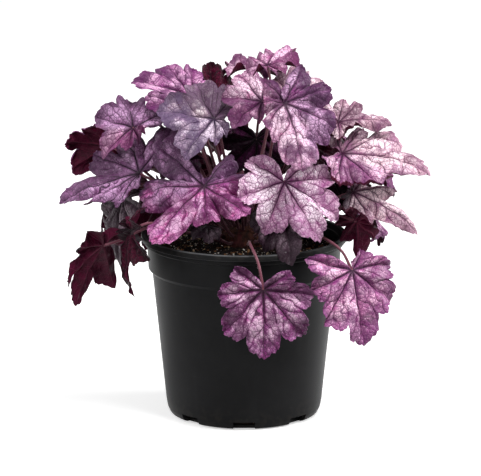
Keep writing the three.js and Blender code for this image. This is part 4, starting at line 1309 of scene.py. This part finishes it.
def stalk_tube(frames):
    """Points, faces and pattern places of the stalk, with a shallow groove along it."""
    points, flat = [], []
    for spot, _, across, other, radius, run, share in frames:
        for s in range(STALK_SIDES):
            a = TURN * s / STALK_SIDES
            reach = radius * (1 - STALK_GROOVE * math.cos(a) ** 6)
            points.append(spot + reach * (math.cos(a) * across + math.sin(a) * other))
            flat.append((run, radius * a, share))
    end = len(points) - STALK_SIDES
    caps = [tuple(range(STALK_SIDES))[::-1], tuple(range(end, end + STALK_SIDES))]
    return points, ring_faces(len(frames), STALK_SIDES) + caps, flat


def stalk_hairs(frames, rng, start):
    """Points, faces and pattern places of the hairs, whose points are counted from start."""
    points, faces, flat = [], [], []
    for _ in range(HAIRS):
        place = rng.uniform(*HAIRY) * (len(frames) - 1)
        k = int(place)
        spot, way, across, other, radius, run, share = frames[k]
        spot = spot + (frames[k + 1][0] - spot) * (place - k)
        a = rng.uniform(0, TURN)
        out = math.cos(a) * across + math.sin(a) * other
        tip = spot + out * (radius + rng.uniform(*HAIR_LENGTH)) + way * rng.uniform(*HAIR_LEAN)
        root = spot + out * (radius - HAIR_ROOT)
        turned = np.cross(way, out)
        a1, a2, a3, top = range(start + len(points), start + len(points) + 4)
        for angle in (0, TURN / 3, TURN * 2 / 3):
            points.append(root + HAIR_RADIUS * (math.cos(angle) * turned + math.sin(angle) * way))
        points.append(tip)
        flat += [(run, a, share)] * 4
        faces += [(a1, a2, top), (a2, a3, top), (a3, a1, top), (a3, a2, a1)]
    return points, faces, flat


def grown_leaf(number, row, shared):
    """A whole leaf, blade and stalk in one piece, in place of its solid."""
    seed = number - 1
    made = blade(row, seed)
    frames = stalk_frames(stalk_line(row))
    tube, tube_faces, tube_flat = stalk_tube(frames)
    rng = random.Random(RANDOM_SEEDS["hairs"] + number)
    hair, hair_faces, hair_flat = stalk_hairs(frames, rng, len(tube))
    start = len(made["points"])
    stalk_faces = [tuple(start + c for c in face) for face in tube_faces + hair_faces]
    name = f"leaf_{number:02d}"
    grown = piece(f"{name}_blade_and_stalk", np.vstack([made["points"], tube, hair]),
                  made["faces"] + stalk_faces, [leaf_face(row["look"], row["second"]), *shared], name)
    mesh = grown.data
    kinds = made["sides"] + [2] * len(tube_faces) + [3] * len(hair_faces)
    mesh.polygons.foreach_set("material_index", kinds)
    veins, tones = corner_veins(row, seed, made)
    rest = sum(len(face) for face in stalk_faces)
    write_values(mesh, "vein", "CORNER", np.vstack([veins, np.zeros((rest, 3))]))
    write_values(mesh, "tone", "CORNER", np.concatenate([tones, np.zeros(rest)]))
    flat = np.array(tube_flat + hair_flat)
    write_values(mesh, "flat", "POINT", np.vstack([made["flat"], made["flat"], flat]))
    along = flat[:, 2:] * (1, 0, 0)
    write_values(mesh, "blade", "POINT", np.vstack([made["surface"], made["surface"], along]))


def leaves():
    """All the leaves, which share the materials of their undersides, stalks and hairs."""
    shared = [leaf_back(), stalk_skin(), hair_skin()]
    for number, row in enumerate(LEAVES, 1):
        grown_leaf(number, row, shared)


# ---- studio ----------------------------------------------------------------------------------------

# in metres, as Blender has them, but lens and sensor in millimetres
CAMERA_PLACE = (-0.0029, -2.688, 0.771)
CAMERA_PITCH = 13.1  # degrees below level
CAMERA_REACH = 60
LENS = 253.1
SENSOR = 36
FLOOR_HALF = 14
SOFTBOX_AIM = Vector((0, 0, 0.18))
SOFTBOXES = {  # place, width, height and power in watts
    "key": ((0.9, -0.9, 2.3), 0.9, 0.9, 58),
    "front": ((-0.7, -2.2, 1.3), 1.2, 1.2, 24),
    "left": ((-2.2, 0.1, 1.0), 0.8, 1.8, 30),
    "right": ((2.2, 0.2, 1.0), 0.8, 1.8, 52),
}
SKY = {"From Min": -0.5, "From Max": 0.9, "To Min": 0.04, "To Max": 0.32}  # strength by the way's height


def camera():
    data = bpy.data.cameras.new("camera")
    data.lens = LENS
    data.sensor_width = SENSOR
    data.clip_end = CAMERA_REACH
    made = add_object("camera", data)
    made.location = CAMERA_PLACE
    made.rotation_euler = (math.radians(90 - CAMERA_PITCH), 0, 0)
    bpy.context.scene.camera = made


def softbox(name, place, width, height, power):
    data = bpy.data.lights.new(name, "AREA")
    data.shape = "RECTANGLE"
    data.size = width
    data.size_y = height
    data.energy = power
    made = add_object(name, data)
    made.location = place
    made.rotation_euler = (SOFTBOX_AIM - Vector(place)).to_track_quat("-Z", "Y").to_euler()


def ground():
    mesh = bpy.data.meshes.new("studio_floor")
    h = FLOOR_HALF
    mesh.from_pydata([(-h, -h, 0), (h, -h, 0), (h, h, 0), (-h, h, 0)], [], [(0, 1, 2, 3)])
    mesh.materials.append(floor_paint())
    made = add_object("studio_floor", mesh)
    made.visible_diffuse = False  # no light thrown up from the white floor


def sky():
    """White light from all round, stronger from above than from below."""
    world = bpy.data.worlds.new("studio")
    world.use_nodes = True
    tree = world.node_tree
    background = tree.nodes["Background"].inputs
    background["Color"].default_value = (1, 1, 1, 1)
    way = tree.nodes.new("ShaderNodeTexCoord").outputs["Generated"]
    parts = tree.nodes.new("ShaderNodeSeparateXYZ")
    fade = tree.nodes.new("ShaderNodeMapRange")
    for key, value in SKY.items():
        fade.inputs[key].default_value = value
    tree.links.new(way, parts.inputs[0])
    tree.links.new(parts.outputs["Z"], fade.inputs["Value"])
    tree.links.new(fade.outputs[0], background["Strength"])
    bpy.context.scene.world = world


def studio():
    ground()
    sky()
    for name, given in SOFTBOXES.items():
        softbox(name, *given)
    view = bpy.context.scene.view_settings
    view.view_transform = "Standard"
    view.look = "None"
    view.exposure = 0.0


camera()
pot()
soil()
chips()
perlite_grains()
crown()
leaves()
studio()
